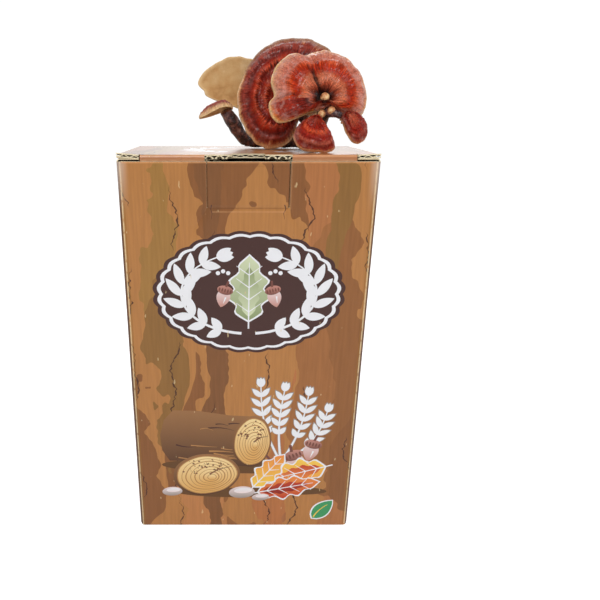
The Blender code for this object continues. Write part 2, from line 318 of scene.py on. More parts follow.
def dress(skin, **values):
    # Feeds the skin's shader, each socket by its name
    inputs = skin.node_tree.nodes["Principled BSDF"].inputs
    for label, value in values.items():
        feed(value, inputs[label.replace("_", " ")])
    return skin


def newSkin(name, **values):
    skin = bpy.data.materials.new(name)
    skin.use_nodes = True
    return dress(skin, **values)


def bumped(skin, height, distance):
    return dress(skin, Normal=wired("Bump", {"Strength": 1.0, "Distance": distance, "Height": height}))


def newGroup(name, takes, gives):
    group = bpy.data.node_groups.new(name, "ShaderNodeTree")
    for way, sockets in (("INPUT", takes), ("OUTPUT", gives)):
        for label, kind in sockets.items():
            group.interface.new_socket(name=label, in_out=way, socket_type="NodeSocket" + kind)
    given = group.nodes.new("NodeGroupInput").outputs
    return group, [Wire(given[label]) for label in takes]


def closeGroup(group, **values):
    result = group.nodes.new("NodeGroupOutput").inputs
    for label, value in values.items():
        feed(value, result[label])
    return group


def placeGroup(group, **values):
    made = addNode(values["Place"].tree, "Group", node_tree=group)
    for label, value in values.items():
        feed(value, made.inputs[label])
    return [Wire(socket) for socket in made.outputs]


# The board's finishes, in millimetres on the flat blank

bark = {
    "fields": ((190, 127, 76), (150, 97, 54), (178, 115, 68), (183, 125, 70), (163, 106, 60), (142, 91, 51)),
    "strips": ((164, 120, 62), (182, 114, 66), (146, 104, 54), (166, 106, 66), (132, 86, 50)),
    "crack": (74, 44, 34),
    "fieldSize": (36.0, 165.0),
    "stripSize": (17.0, 120.0),
    "stripShare": 0.72,
    "slowSway": 44,
    "quickSway": 12,
    "rise": 90,
    "crackPitch": 31.0,
}


def barkGroup():
    # A drawn tree bark: flat wavy fields that run up the wall, narrow strips and thin jagged cracks
    group, (place,) = newGroup("barkPrint", {"Place": "Vector"}, {"Colour": "Color"})
    flat = stretched(place, (1000, 1000, 0))
    u, v, _ = split(flat)
    slow = noiseOn(stretched(flat, (0.016, 0.009, 0)), flat=True, detail=1) - 0.5
    quick = noiseOn(stretched(flat, (0.05, 0.045, 0)), flat=True)
    bent = u + slow * bark["slowSway"] + (quick - 0.5) * bark["quickSway"]
    raised = v + quick * bark["rise"]

    def cells(size, shift):
        spot = combine(bent / size[0] + shift, raised / size[1])
        return split(wired("TexVoronoi", {"Vector": spot, "Scale": 1.0}, "Color", voronoi_dimensions="2D"))

    def evenRamp(value, tones):
        return rampOf(value, [(i / len(tones), tone) for i, tone in enumerate(tones)], steps=True)

    fields, strips = cells(bark["fieldSize"], 3.3), cells(bark["stripSize"], 17.1)
    overlay = evenRamp(strips[0], bark["strips"])
    onStrip = strips[1].by("GREATER_THAN", bark["stripShare"])
    colour = mixed(onStrip, evenRamp(fields[0], bark["fields"]), overlay)
    grain = noiseOn(stretched(flat, (0.5, 0.03, 0)), flat=True, detail=3)
    colour = mixed(1.0, colour, rampOf(grain, ((0.3, 0.93), (0.7, 1.07))), "MULTIPLY")

    # Cracks: at most one to a column, on and off along the height
    column = (u / bark["crackPitch"]).by("FLOOR")
    lot = wired("TexWhiteNoise", {"W": column}, "Value", noise_dimensions="1D")
    centre = (column + lot * 0.6 + 0.2) * bark["crackPitch"]

    def along(step, shift, detail):
        return noiseOn(combine(column * 7.31 + shift, v * step), flat=True, detail=detail) - 0.5

    middle = centre + along(0.035, 0.0, 0.0) * 18 + along(0.22, 2.7, 1.0) * 5
    width = along(0.017, 5.2, 0.0) * 8 - 0.1
    width = width.by("MINIMUM", along(0.3, 9.4, 1.0) * 1.3 + 0.6)
    crack = (width - abs(u - middle)) * 5
    return closeGroup(group, Colour=mixed(crack.by("MINIMUM", 1.0) * 0.92, colour, tint(*bark["crack"])))


def fibreGroup():
    # Paper fibres, and faint ribs of the flutes under the paper
    group, (place,) = newGroup("boardFibre", {"Place": "Vector"}, {"Fibre": "Float", "Rib": "Float"})
    fibre = noiseOn(stretched(place, (1200, 350, 1000)), detail=4, rough=0.6)
    rib = (split(place)[0] * (2 * math.pi / board["flute"])).by("SINE")
    return closeGroup(group, Fibre=fibre, Rib=rib)


def printedSkin(name, pattern, fibres):
    skin = newSkin(name, Specular_IOR_Level=0.32, Coat_Roughness=0.26)
    place = source(skin.node_tree, "UVMap", 0, uv_map="blank")
    fibre, rib = placeGroup(fibres, Place=place)
    colour = placeGroup(pattern, Place=place)[0]
    colour = mixed(attributeOf(skin, "ink", "Alpha"), colour, attributeOf(skin, "ink", "Color"))
    u, v, _ = split(stretched(place, (1000, 1000, 0)))
    onLid = v.by("GREATER_THAN", lidTop / mm - 1)
    onWall = v.by("LESS_THAN", lidTop / mm - 3)
    fold = abs(u) - halfWidth / mm
    rub = noiseOn(stretched(place, (60, 60, 0)), 4.0, flat=True, detail=3)
    scuff = noiseOn(stretched(place, (260, 90, 0)), flat=True)

    # The fold onto the lid, painted shade just past the upright folds, worn pale lines along them that are
    # partly a painted highlight, and a painted highlight at the upper corners
    tones = board["tones"]
    starts, ends = board["foldShade"]
    nearFold, nearTop = board["cornerGlare"]
    foldShade = between(fold, *starts) * between(fold, *ends) * onWall
    wornFoldAndGlint = near(fold, *board["wornFoldAndGlint"]) * between(rub, *board["rubbed"]) * onWall
    corner = between(abs(fold), *nearFold) * between(v, *nearTop) * onWall
    layers = [
        (tones["strip"], between(v, *board["strip"]) * 0.86),
        (tones["foldShade"], foldShade * 0.85),
        (tones["wornFoldAndGlint"], wornFoldAndGlint * 1.2),
        (tones["foldLine"], near(fold, *board["foldLine"]) * onWall * 1.1),
        (tones["corner"], corner * 0.5),
    ]
    # Worn lines, and lines of painted highlight and painted shade
    for middle, half, way, evenness, start, end, strength, tone in board["wearShadeAndSheen"]:
        across, up = (v, u) if way == "level" else (u, v)
        inside = up.by("GREATER_THAN", start) * up.by("LESS_THAN", end)
        layers.append((tone, near(across, middle, half + 0.5) * inside * (rub + evenness) * strength))
    layers.append((tones["scuff"], between(scuff, *board["scuffed"]) * 0.6))
    colour = painted(colour, layers)
    dress(skin, Base_Color=colour, Roughness=fibre * 0.16 + 0.24, Coat_Weight=onLid * 0.65 + 0.1)
    return bumped(skin, rib * 0.5 + fibre * 0.22, 0.00006)


def rawSkin(name, fibres, papers):
    skin = newSkin(name, Roughness=0.85)
    fibre, _ = placeGroup(fibres, Place=objectPlace(skin))
    dress(skin, Base_Color=rampOf(fibre, tuple(zip(board["paperStops"], papers))))
    return bumped(skin, fibre, 0.0001)


# Corrugated board

board = {
    "thickness": 3.0 * mm,
    "liner": 0.78 * mm,
    "medium": 0.55 * mm,
    "flute": 7.2 * mm,
    "stepsPerFlute": 10,
    # How each layer gets its thickness: offset, and the finish on its other side and on its rim
    "layers": {"outer": (-1.0, -1, -2), "medium": (0.0, 0, -1), "inner": (-1.0, -1, -1)},
    "foldRadius": 2.4 * mm,
    "innerRadius": 0.3 * mm,
    "foldSteps": 7,
    "raw": ((226, 204, 162), (246, 230, 194), (252, 242, 216)),
    # Painted shade: the paper's faces inside the board get dark colours for the shade they lie in
    "inside": ((34, 24, 17), (50, 36, 26), (72, 54, 38)),
    "paperStops": (0.25, 0.5, 0.8),
    "strip": (418.2, 418.8),
    "tones": {
        "strip": (190, 128, 86),
        # Painted shade just past the upright folds
        "foldShade": (84, 54, 40),
        # Worn pale line along the upright folds, partly a painted highlight
        "wornFoldAndGlint": (236, 214, 168),
        "foldLine": (150, 104, 46),
        # Painted highlight at the upper corners of the walls
        "corner": (238, 214, 196),
        "scuff": (226, 200, 150),
    },
    # Along the upright folds, in millimetres past the fold: where the painted shade starts and ends, and worn
    # lines, the pale one partly a painted highlight
    "foldShade": ((-1.9, -1.3), (6.5, 4.5)),
    "wornFoldAndGlint": (-2.5, 0.85),
    "foldLine": (-4.1, 0.7),
    # Painted highlight at the upper corners: how far from the fold, and how high
    "cornerGlare": ((9.0, 2.0), (270.0, 309.0)),
    "rubbed": (0.2, 0.5),
    "scuffed": (0.775, 0.8),
    # Lines in millimetres, some worn, some painted highlight or painted shade: where, half width, which way,
    # evenness, from, to, strength, colour
    "wearShadeAndSheen": (
        # Worn pale lines along the tab's two cuts
        (-28.8, 0.2, "upright", 0.2, 277, 309, 0.35, (216, 160, 116)),
        (29.6, 0.2, "upright", 0.1, 277, 309, 0.5, (228, 176, 130)),
        # Painted highlight along the top edge of the front wall
        (308.1, 0.35, "level", 0.6, -86, 86, 0.55, (246, 178, 122)),
        # A dark line across the tab, just below its top
        (305.6, 0.2, "level", 0.2, -28, 28, 0.5, (128, 76, 44)),
        # Painted shade and painted highlight along the pressed crease under the tab
        (277.0, 0.35, "level", 0.6, -28, 28, 0.45, (98, 58, 34)),
        (274.6, 0.3, "level", 0.4, -25, 26, 0.5, (222, 166, 118)),
        # Painted highlights along the front of the lid's fold, at its top and at its foot
        (419.8, 0.5, "level", 0.6, 300, 460, 0.6, (250, 182, 128)),
        (423.3, 0.25, "level", 0.3, 300, 460, 0.6, (232, 196, 160)),
    ),
}
board["ripple"] = (board["thickness"] - 2 * board["liner"] - board["medium"] * 0.4) / 2
board["step"] = board["flute"] / board["stepsPerFlute"]


def spread(low, high, step):
    count = max(1, round((high - low) / step))
    return [low + (high - low) * i / count for i in range(count + 1)]


def arcOf(centre, radius, start, end):
    # The places and outward directions along an arc, in degrees
    made = []
    for i in range(board["foldSteps"] + 1):
        turn = math.radians(start + (end - start) * i / board["foldSteps"])
        way = (math.cos(turn), math.sin(turn))
        made.append(((centre[0] + radius * way[0], centre[1] + radius * way[1]), way))
    return made


def foldAt(corner, way, depth):
    # A rounded fold of the layer at this depth, about an outer corner, from one angle to another
    radius = max(board["innerRadius"], board["foldRadius"] - depth)
    signs = [math.cos(math.radians(sum(way) / 2)), math.sin(math.radians(sum(way) / 2))]
    centre = [place - math.copysign(depth + radius, sign) for place, sign in zip(corner, signs)]
    return arcOf(centre, radius, *way)


def sweptSheet(name, along, profile, thickness, layer, axis, ripple=0.0, arts=()):
    # One paper layer: a grid laid over a folded profile, swept along X or Y and given its thickness
    columns, rows = len(along) - 1, len(profile) - 1
    bpy.ops.mesh.primitive_grid_add(x_subdivisions=columns, y_subdivisions=rows, size=2)
    piece = bpy.context.object
    piece.name = name
    for vert in piece.data.vertices:
        i, j = round((vert.co.x + 1) / 2 * columns), round((vert.co.y + 1) / 2 * rows)
        (p, z), (wayP, wayZ) = profile[j]
        lift = ripple * math.sin(2 * math.pi * along[i] / board["flute"])
        p, z = p + wayP * lift, z + wayZ * lift
        vert.co = (along[i], p, z) if axis == 0 else (p, along[i], z)
    piece.data.update()
    face = piece.data.polygons[0]
    (_, _), (wayP, wayZ) = profile[0]
    way = Vector((0, wayP, wayZ)) if axis == 0 else Vector((wayP, 0, wayZ))
    if face.normal.dot(way) < 0:
        piece.data.flip_normals()
    return thickened(piece, thickness, layer, *arts)


def thickened(piece, thickness, layer, *arts):
    # Gives a paper its thickness. Only the outer paper's face is printed, bare or with pictures.
    setSkins(piece, skins["raw"], skins["inside"], skins["printed"])
    for face in piece.data.polygons:
        face.material_index = 2 if layer == "outer" else 1
    bare = piece.data.attributes.new("ink", "FLOAT_COLOR", "CORNER")
    bare.data.foreach_set("color", [0.0] * 4 * len(piece.data.loops))
    for art in arts:
        printOnFace(piece, *art)
    # The side that faces into the board is painted dark as shade, and all that a cut or the box shows is raw
    offset, back, rim = board["layers"][layer]
    sides = {"offset": offset, "material_offset": back, "material_offset_rim": rim}
    return applied(piece, "SOLIDIFY", thickness=thickness, **sides)


def boardSheets(name, span, profileAt, axis=0, arts=()):
    # Both liners with the fluted medium between them, over the same fold
    whole, liner, medium = board["thickness"], board["liner"], board["medium"]
    outer = sweptSheet(name, list(span), profileAt(0), liner, "outer", axis, arts=arts)
    inner = sweptSheet(name, list(span), profileAt(whole - liner), liner, "inner", axis)
    fine = spread(span[0], span[-1], board["step"])
    fluted = sweptSheet(name, fine, profileAt(whole / 2), medium, "medium", axis, board["ripple"])
    return [outer, fluted, inner]


def ringLoop(inset, dense):
    # The carton's outline at this inset: straight walls and rounded corners, as places and directions
    radius = max(0.5 * mm, carton["cornerRadius"] - inset)
    x, y = halfWidth - inset - radius, halfDepth - inset - radius
    made = []
    for cornerX, cornerY, start in ((x, -y, -90), (x, y, 0), (-x, y, 90), (-x, -y, 180)):
        for place, way in arcOf((cornerX, cornerY), radius, start, start + 90):
            made.append((Vector(place), Vector(way)))
    if dense:
        filled = []
        for (here, way), (there, _) in zip(made, made[1:] + made[:1]):
            count = max(1, round((there - here).length / board["step"]))
            filled += [(here.lerp(there, i / count), way) for i in range(count)]
        made = filled
    return made


def ringSheet(name, inset, low, high, ripple=0.0):
    # One paper layer all round the carton
    loop = ringLoop(inset, bool(ripple))
    flutes = 2 * round((halfWidth + halfDepth) * 2 / board["flute"])
    bpy.ops.mesh.primitive_circle_add(vertices=len(loop), radius=1, fill_type="NOTHING")
    piece = bpy.context.object
    piece.name = name
    for i, (vert, (place, way)) in enumerate(zip(piece.data.vertices, loop)):
        spot = place + way * ripple * math.sin(math.pi * flutes * i / len(loop))
        vert.co = (spot.x, spot.y, low)
    pick(piece)
    bpy.ops.object.mode_set(mode="EDIT")
    bpy.ops.mesh.select_all(action="SELECT")
    bpy.ops.mesh.extrude_edges_move(TRANSFORM_OT_translate={"value": (0, 0, high - low)})
    bpy.ops.mesh.select_all(action="SELECT")
    bpy.ops.mesh.normals_make_consistent(inside=False)
    bpy.ops.object.mode_set(mode="OBJECT")
    face = piece.data.polygons[0]
    if face.normal.dot(Vector((face.center.x, face.center.y, 0))) < 0:
        piece.data.flip_normals()
    return piece


def cutAway(layers, boxes, turn=(0, 0, 0)):
    # Cuts boxes, each turned about its own middle, out of each paper layer. The cut faces are raw board.
    made = []
    for low, high in boxes:
        low, high = Vector(low), Vector(high)
        bpy.ops.mesh.primitive_cube_add(size=1, location=(low + high) / 2, rotation=turn, scale=high - low)
        made.append(bpy.context.object)
    cutter = joined("cutter", made)
    setSkins(cutter, skins["raw"])
    for layer in layers:
        applied(layer, "BOOLEAN", operation="DIFFERENCE", solver="EXACT", object=cutter)
    bpy.data.objects.remove(cutter, do_unlink=True)


def cutFreeCorners(layers, x, rows, half):
    # Cuts a flap's two free corners off at 45 degrees
    boxes = [((x - half, y - half, 0), (x + half, y + half, 1)) for y in rows]
    cutAway(layers, boxes, (0, 0, math.pi / 4))


def layBlank(piece, rule):
    # The print's own coordinates: the flat blank in metres
    layer = piece.data.uv_layers.get("blank") or piece.data.uv_layers.new(name="blank")
    for face in piece.data.polygons:
        for index in face.loop_indices:
            vert = piece.data.vertices[piece.data.loops[index].vertex_index]
            layer.data[index].uv = rule(vert.co, face.center)
    for other in [entry.name for entry in piece.data.uv_layers if entry.name != "blank"]:
        piece.data.uv_layers.remove(piece.data.uv_layers[other])


def finished(piece, name, node, angle=30):
    pick(piece)
    bpy.ops.object.shade_smooth_by_angle(angle=math.radians(angle))
    piece.name = piece.data.name = name
    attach(piece, "root")
    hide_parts(node)
    print(name, "made,", len(piece.data.polygons), "faces")


# Flat printed shapes, in millimetres on the panel


def turned(points, x, z, turn):
    across, along = math.cos(math.radians(turn)), math.sin(math.radians(turn))
    return [(x + a * across - b * along, z + a * along + b * across) for a, b in points]


def oval(x, z, wide, high, turn=0.0, steps=30, wobble=0.0, phase=0.0, scallops=0):
    # An oval, or an uneven one, or one whose edge is a row of scallops
    points = []
    for i in range(steps):
        angle = 2 * math.pi * i / steps
        size = 0.5 + wobble * (math.sin(3 * angle + phase) + 0.6 * math.sin(7 * angle + 2 * phase))
        size += 0.016 * abs(math.sin(scallops * angle / 2))
        points.append((wide * size * math.cos(angle), high * size * math.sin(angle)))
    return turned(points, x, z, turn)


def leaf(x, z, length, wide, turn=90.0, steps=10, lobes=0, lobeDepth=0.0):
    # A leaf that grows from (x, z) in the direction of turn, plain or with lobes
    steps = max(steps, lobes * 6)
    sides = []
    for side in (1, -1):
        edge = []
        for i in range(1, steps):
            share = i / steps
            half = wide / 2 * math.sin(math.pi * share**0.85) ** 0.8
            half *= 1 - lobeDepth * (0.5 + 0.5 * math.cos(2 * math.pi * lobes * share)) if lobes else 1
            edge.append((share * length, side * half))
        sides.append(edge)
    return turned([(0, 0)] + sides[0] + [(length, 0)] + sides[1][::-1], x, z, turn)


def ribbon(path, width, endWidth=None):
    # A drawn stroke along a path, that may taper
    endWidth = width if endWidth is None else endWidth
    path = [Vector(point) for point in path]
    left, right = [], []
    for i, point in enumerate(path):
        way = (path[min(i + 1, len(path) - 1)] - path[max(i - 1, 0)]).normalized()
        half = (width + (endWidth - width) * i / (len(path) - 1)) / 2
        side = Vector((-way.y, way.x)) * half
        left.append(tuple(point + side))
        right.append(tuple(point - side))
    return left + right[::-1]


def bow(start, end, sag, steps=12):
    # A curved path from start to end that bows to its left by sag
    start, end = Vector(start), Vector(end)
    way = (end - start).normalized()
    side = Vector((-way.y, way.x))
    return [start.lerp(end, i / steps) + side * sag * math.sin(math.pi * i / steps) for i in range(steps + 1)]


class Picture:
    # Flat shapes in the order in which they are printed, each with an ink below and one above
    def __init__(self):
        self.layers = []

    def draw(self, outline, low, high=None):
        area = sum(a[0] * b[1] - b[0] * a[1] for a, b in zip(outline, outline[1:] + outline[:1]))
        high = inks[high or low] if low else None
        self.layers.append((outline if area > 0 else outline[::-1], inks[low] if low else None, high))


def printOnFace(piece, choose, axes, picture):
    # Cuts the picture's outlines into one flat face, so that each shape's faces carry its ink
    shape = bmesh.new()
    shape.from_mesh(piece.data)
    ink = shape.loops.layers.float_color.get("ink") or shape.loops.layers.float_color.new("ink")
    face = next(face for face in shape.faces if choose(face))
    corners = list(face.verts)
    normal, skinIndex = face.normal.copy(), face.material_index
    first, second = axes
    points = [Vector((vert.co[first], vert.co[second])) / mm for vert in corners]
    cornerPlaces = list(zip(corners, points[:]))
    if sum(a.cross(b) for a, b in zip(points, points[1:] + points[:1])) < 0:
        points.reverse()
    outlines = [tuple(range(len(points)))]
    for outline, _, _ in picture.layers:
        outlines.append(tuple(range(len(points), len(points) + len(outline))))
        points += [Vector(point) for point in outline]
    places, _, faces, _, _, owners = delaunay_2d_cdt(points, [], outlines, 1, 1e-5, True)
    made = []
    for place in places:
        same = [vert for vert, point in cornerPlaces if (point - place).length < 0.001]
        if same:
            made.append(same[0])
            continue
        spot = corners[0].co.copy()
        spot[first], spot[second] = place.x * mm, place.y * mm
        made.append(shape.verts.new(spot))
    shape.faces.remove(face)
    for triangle, owner in zip(faces, owners):
        if 0 not in owner:
            continue
        patch = shape.faces.new([made[i] for i in triangle])
        patch.normal_update()
        if patch.normal.dot(normal) < 0:
            patch.normal_flip()
        patch.material_index = skinIndex
        outline, low, high = picture.layers[max(owner) - 1] if max(owner) else (None, None, None)
        for loop in patch.loops:
            loop[ink] = (0, 0, 0, 0)
            if low:
                bottom, top = min(z for _, z in outline), max(z for _, z in outline)
                share = (loop.vert.co[second] / mm - bottom) / (top - bottom)
                loop[ink] = [a + (b - a) * share for a, b in zip(low, high)]
    shape.normal_update()
    shape.to_mesh(piece.data)
    shape.free()


# The carton's own design

inks = {
    "ground": tint(74, 46, 42),
    "white": tint(240, 240, 244),
    "shadow": tint(104, 70, 38),
    "barkDark": tint(84, 54, 36),
    "barkPale": tint(158, 112, 72),
    "wood": tint(222, 170, 96),
    "woodPale": tint(246, 218, 160),
    "woodLine": tint(186, 132, 78),
    "speck": tint(126, 82, 56),
    "pinkDark": tint(122, 74, 64),
    "pink": tint(200, 140, 126),
    "blush": tint(240, 222, 222),
    "grey": tint(158, 146, 138),
    "yellow": tint(250, 208, 88),
    "orange": tint(238, 142, 66),
    "red": tint(196, 66, 42),
    "deepRed": tint(138, 36, 28),
    "greenPale": tint(214, 222, 186),
    "greenShade": tint(142, 156, 108),
    "green": tint(64, 154, 98),
}
emblem = {
    "size": (138.0, 92.0),
    "scallops": 28,
    "branch": (50.0, 31.5),
    "branchTurns": (-84, 66),
    "leaf": 15.5,
    "pairs": 9,
    "bandShares": (0.955, 0.915),
    "oakLeaf": (50, 31),
    "acorn": 10.5,
}
# The drawn group's parts, in millimetres: x, z and then their sizes
stillLife = {
    "shadows": ((-8, 62, 122, 13), (-20, 36, 82, 10), (36, 38, 68, 9)),
    "sprigFoot": (30, 66),
    "sprigs": ((12, 139, 5), (31, 135, 3), (50, 131, -4), (66, 116, -8)),
    "sprigInks": ((11.5, 3.0, "grey"), (10.2, 2.0, "white")),
    "rings": (0.92, 0.8, 0.7, 0.57, 0.47, 0.35, 0.25, 0.14),
    "acorns": ((40, 73, 15, -68), (56, 84, 13, -104), (24, 66, 13, -42)),
    "oakLeaves": (
        (67, 62, 50, 27, 196, "orange", "yellow", ("orange", "red")),
        (12, 36, 52, 22, 12, "red", "orange", ("deepRed", "red")),
        (8, 42, 40, 20, 52, "yellow", "orange", ("yellow", "orange")),
    ),
    "pebbles": ((-2, 36, 22, 12), (-61, 37, 17, 9), (14, 31, 15, 7)),
}


def drawSprig(picture, path, size, pairs, stem, ink="white", spreadTurn=40, start=0.12):
    # A stem with leaves in pairs and one at its tip
    picture.draw(ribbon(path, stem, stem * 0.4), ink)
    last = len(path) - 1
    for i in range(pairs):
        at = (start + (0.97 - start) * i / (pairs - 1)) * last
        step = min(int(at), last - 1)
        root, way = path[step].lerp(path[step + 1], at - step), path[step + 1] - path[step]
        turn = math.degrees(math.atan2(way.y, way.x))
        long = size * (0.82 + 0.3 * math.sin(math.pi * i / (pairs - 1)))
        for hand in (-1, 1) if i < pairs - 1 else (-0.4, 0.4, 0):
            picture.draw(leaf(root.x, root.y, long, size * 0.43, turn + hand * spreadTurn), ink)


def drawOakLeaf(picture, x, z, length, wide, turn, low, high, core, edge="white"):
    # A lobed leaf with a pale edge and pale ribs
    def lobed(along, longer, wider, lobeDepth=0.34):
        foot = turned([(along, 0)], x, z, turn)[0]
        return leaf(*foot, length * longer, wide * wider, turn, lobes=4, lobeDepth=lobeDepth)

    picture.draw(lobed(-1.5, 1 + 3 / length, 1 + 3.4 / wide), edge)
    picture.draw(lobed(0, 1, 1), low, high)
    picture.draw(lobed(length * 0.06, 0.78, 0.52, 0.3), *core)
    picture.draw(ribbon(turned([(-length * 0.13, 0), (length * 0.9, 0)], x, z, turn), 1.2, 0.5), edge)
    for i in range(4):
        root = length * (0.14 + 0.19 * i)
        for hand in (-1, 1):
            rib = [(root, 0), (root + length * 0.14, hand * wide * 0.3)]
            picture.draw(ribbon(turned(rib, x, z, turn), 0.8, 0.4), edge)


def drawAcorn(picture, x, z, size, turn):
    # A pale nut in a dark scaly cup
    nut = turned([(-size * 0.15, 0)], x, z, turn)[0]
    picture.draw(leaf(*nut, size * 1.45, size * 0.98, turn, 14), "pink", "blush")
    glint = turned([(size * 0.5, size * 0.16), (size * 1.0, size * 0.1)], x, z, turn)
    picture.draw(ribbon(glint, size * 0.12, 0.2), "white")
    picture.draw(oval(x, z, size * 0.66, size * 1.14, turn, 26), "pinkDark", "pink")
    for i in range(-2, 3):
        spot = turned([(size * 0.02, i * size * 0.2)], x, z, turn)[0]
        picture.draw(oval(*spot, size * 0.3, size * 0.12, turn, 8), "pinkDark")
    stem = turned([(-size * 0.25, 0), (-size * 0.7, size * 0.08)], x, z, turn)
    picture.draw(ribbon(stem, size * 0.16), "pinkDark")


def drawEmblem(picture, x, z, scale=1.0, ground=True):
    # Two leafy branches round an oak leaf, on a dark scalloped oval with a white band
    wide, high = (side * scale for side in emblem["size"])
    if ground:
        for share, ink in zip((1.0, *emblem["bandShares"]), ("ground", "white", "ground")):
            picture.draw(oval(x, z, wide * share, high * share, 0, 168, scallops=emblem["scallops"]), ink)
    low, high = emblem["branchTurns"]
    for side in (-1, 1):
        path = []
        for i in range(25):
            angle = math.radians(low + (high - low) * i / 24)
            reach = [radius * scale for radius in emblem["branch"]]
            path.append(Vector((x + side * reach[0] * math.cos(angle), z + reach[1] * math.sin(angle))))
        drawSprig(picture, path, emblem["leaf"] * scale, emblem["pairs"], 2.2 * scale)
    if not ground:
        return
    inner = ("greenPale", "greenShade")
    drawOakLeaf(picture, x, z - 21, *emblem["oakLeaf"], 90, *inner[::-1], inner)
    for side in (-1, 1):
        drawAcorn(picture, x + side * 17.5, z + 3, emblem["acorn"], -90 + side * 14)
        for turn, far in ((0, 0), (74, 4.6), (-74, 4.6)):
            picture.draw(oval(x + side * (19 + turn * 0.05), z + 17.5 - far * 0.3, 3.2, 3.2, 0, 12), "white")


def drawLogEnd(picture, x, z, wide, high, turn, seed):
    # The sawn end of a log: uneven rings round an off-centre heart, a split, and specks above
    chance = random.Random(seed)
    phase = chance.uniform(0, 6)
    picture.draw(oval(x, z, wide, high, turn, 44, 0.006, phase), "barkDark", "barkPale")
    for i, share in enumerate(stillLife["rings"]):
        place = (x + wide * 0.1 * (1 - share), z - high * 0.07 * (1 - share))
        pale = share - (0.02 if i % 2 else 0.035)
        for reach, tones in ((share, ["woodLine"]), (pale, ["wood", "woodPale"])):
            ring = oval(*place, wide * reach, high * reach, turn, 40, 0.007, phase + i * 0.5)
            picture.draw(ring, *tones)
    cleft = turned([(wide * 0.05, 0), (wide * 0.2, high * 0.1), (wide * 0.4, high * 0.13)], x, z, turn)
    picture.draw(ribbon(cleft, 1.5, 0.3), "speck")
    for _ in range(46):
        angle, far = chance.uniform(0.3, math.pi - 0.3), chance.uniform(0.3, 0.84)
        spot = turned([(wide / 2 * far * math.cos(angle), high / 2 * far * math.sin(angle))], x, z, turn)[0]
        size = chance.uniform(0.6, 2.0)
        picture.draw(oval(*spot, size, size * 0.85, 0, 8), "speck")


def drawLog(picture, x, z, length, across, turn, seed):
    # A lying log with its bark and its sawn end to the right
    half = across / 2
    body = [(0, half), (length * 0.3, half * 1.05), (length * 0.7, half * 0.97), (length, half)]
    body += [(length, -half), (length * 0.6, -half * 1.04), (length * 0.2, -half * 0.96), (0, -half)]
    body += [(-across * 0.14, -half * 0.6), (-across * 0.19, 0), (-across * 0.14, half * 0.6)]
    picture.draw(turned(body, x, z, turn), "barkDark", "barkPale")
    chance = random.Random(seed)
    for i in range(13):
        at, height = chance.uniform(0.02, 0.7) * length, chance.uniform(-0.85, 0.85) * half
        stripe = bow((at, height), (at + chance.uniform(10, 24), height * 0.96), chance.uniform(-1.6, 1.6), 6)
        stripe = ribbon(turned(stripe, x, z, turn), chance.uniform(0.8, 1.7), 0.2)
        picture.draw(stripe, "woodLine" if i % 3 else "ground")
    end = turned([(length, 0)], x, z, turn)[0]
    drawLogEnd(picture, *end, across * 0.66, across * 1.02, turn, seed)


def drawStillLife(picture):
    # A log and a slice of one, white sprigs, acorns, autumn leaves and pebbles on soft shadows
    for x, z, wide, high in stillLife["shadows"]:
        picture.draw(oval(x, z, wide, high, -2), "shadow")
    for x, z, sag in stillLife["sprigs"]:
        path = bow(stillLife["sprigFoot"], (x, z), sag)
        for size, stem, ink in stillLife["sprigInks"]:
            drawSprig(picture, path, size, 6, stem, ink, 42, 0.4)
    drawLog(picture, -60, 92, 66, 48, -5, 5)
    drawLogEnd(picture, -32, 54, 56, 41, 8, 8)
    for acorn in stillLife["acorns"]:
        drawAcorn(picture, *acorn)
    for oakLeaf in stillLife["oakLeaves"]:
        drawOakLeaf(picture, *oakLeaf)
    for x, z, wide, high in stillLife["pebbles"]:
        picture.draw(oval(x, z, wide, high, 4), "grey", "blush")
        picture.draw(oval(x + 1, z + high * 0.14, wide * 0.7, high * 0.45, 4), "blush", "white")
    picture.draw(leaf(58, 8, 27, 16, 48), "white")
    picture.draw(leaf(59, 9, 24.4, 13.4, 48), "green")
    picture.draw(ribbon(bow((60, 10), (71.5, 23), 1.2), 1.2, 0.4), "yellow")


def frontPicture():
    picture = Picture()
    foot, reach = carton["tabFoot"] / mm, carton["tabHalf"] / mm
    for height in carton["creaseRows"]:
        # Bare outlines that give the pressed crease under the tab its own points
        low, high = foot - height, foot + height
        picture.draw([(-reach, low), (reach, low), (reach, high), (-reach, high)], None)
    for side, lean in ((-1, 0.6), (1, -0.9)):
        # Small tears below the tab's corners
        x = side * (reach - 3)
        tear = [(x, foot + 2), (x - lean, foot - 1), (x + lean * 0.6, foot - 4), (x - lean * 0.4, foot - 8)]
        picture.draw(ribbon(tear, 0.7, 0.2), "ground")
    drawEmblem(picture, 1.5, 214)
    drawStillLife(picture)
    return picture


def lonePicture(x, z, scale, ground):
    picture = Picture()
    drawEmblem(picture, x, z, scale, ground)
    return picture


def broad(axis, sign):
    # Chooses the large flat face that looks this way
    return lambda face: face.normal[axis] * sign > 0.99 and face.calc_area() > 0.01


# The carton

carton = {
    "cornerRadius": 3.5 * mm,
    "frontTop": lidTop - 4.4 * mm,
    "sideTop": lidTop - 6.6 * mm,
    "ringFoot": 3.05 * mm,
    "ringTop": bodyHigh.z,
    "flapHalf": 89.2 * mm,
    "footSteps": (0.35, 0.7, 1.2, 1.9, 2.7, 3.5),
    "seam": 0.3 * mm,
    "foldUnder": 4 * mm,
    "cutOver": 0.1 * mm,
    "tabCutDeeper": 2 * mm,
    "tabHalf": 28.4 * mm,
    "tabFoot": lidTop - 35.4 * mm,
    "tabCuts": (0.5 * mm, 1.0 * mm),
    "creaseRows": (1.6, 1.1, 0.55),
    "creaseDepth": 0.4 * mm,
}


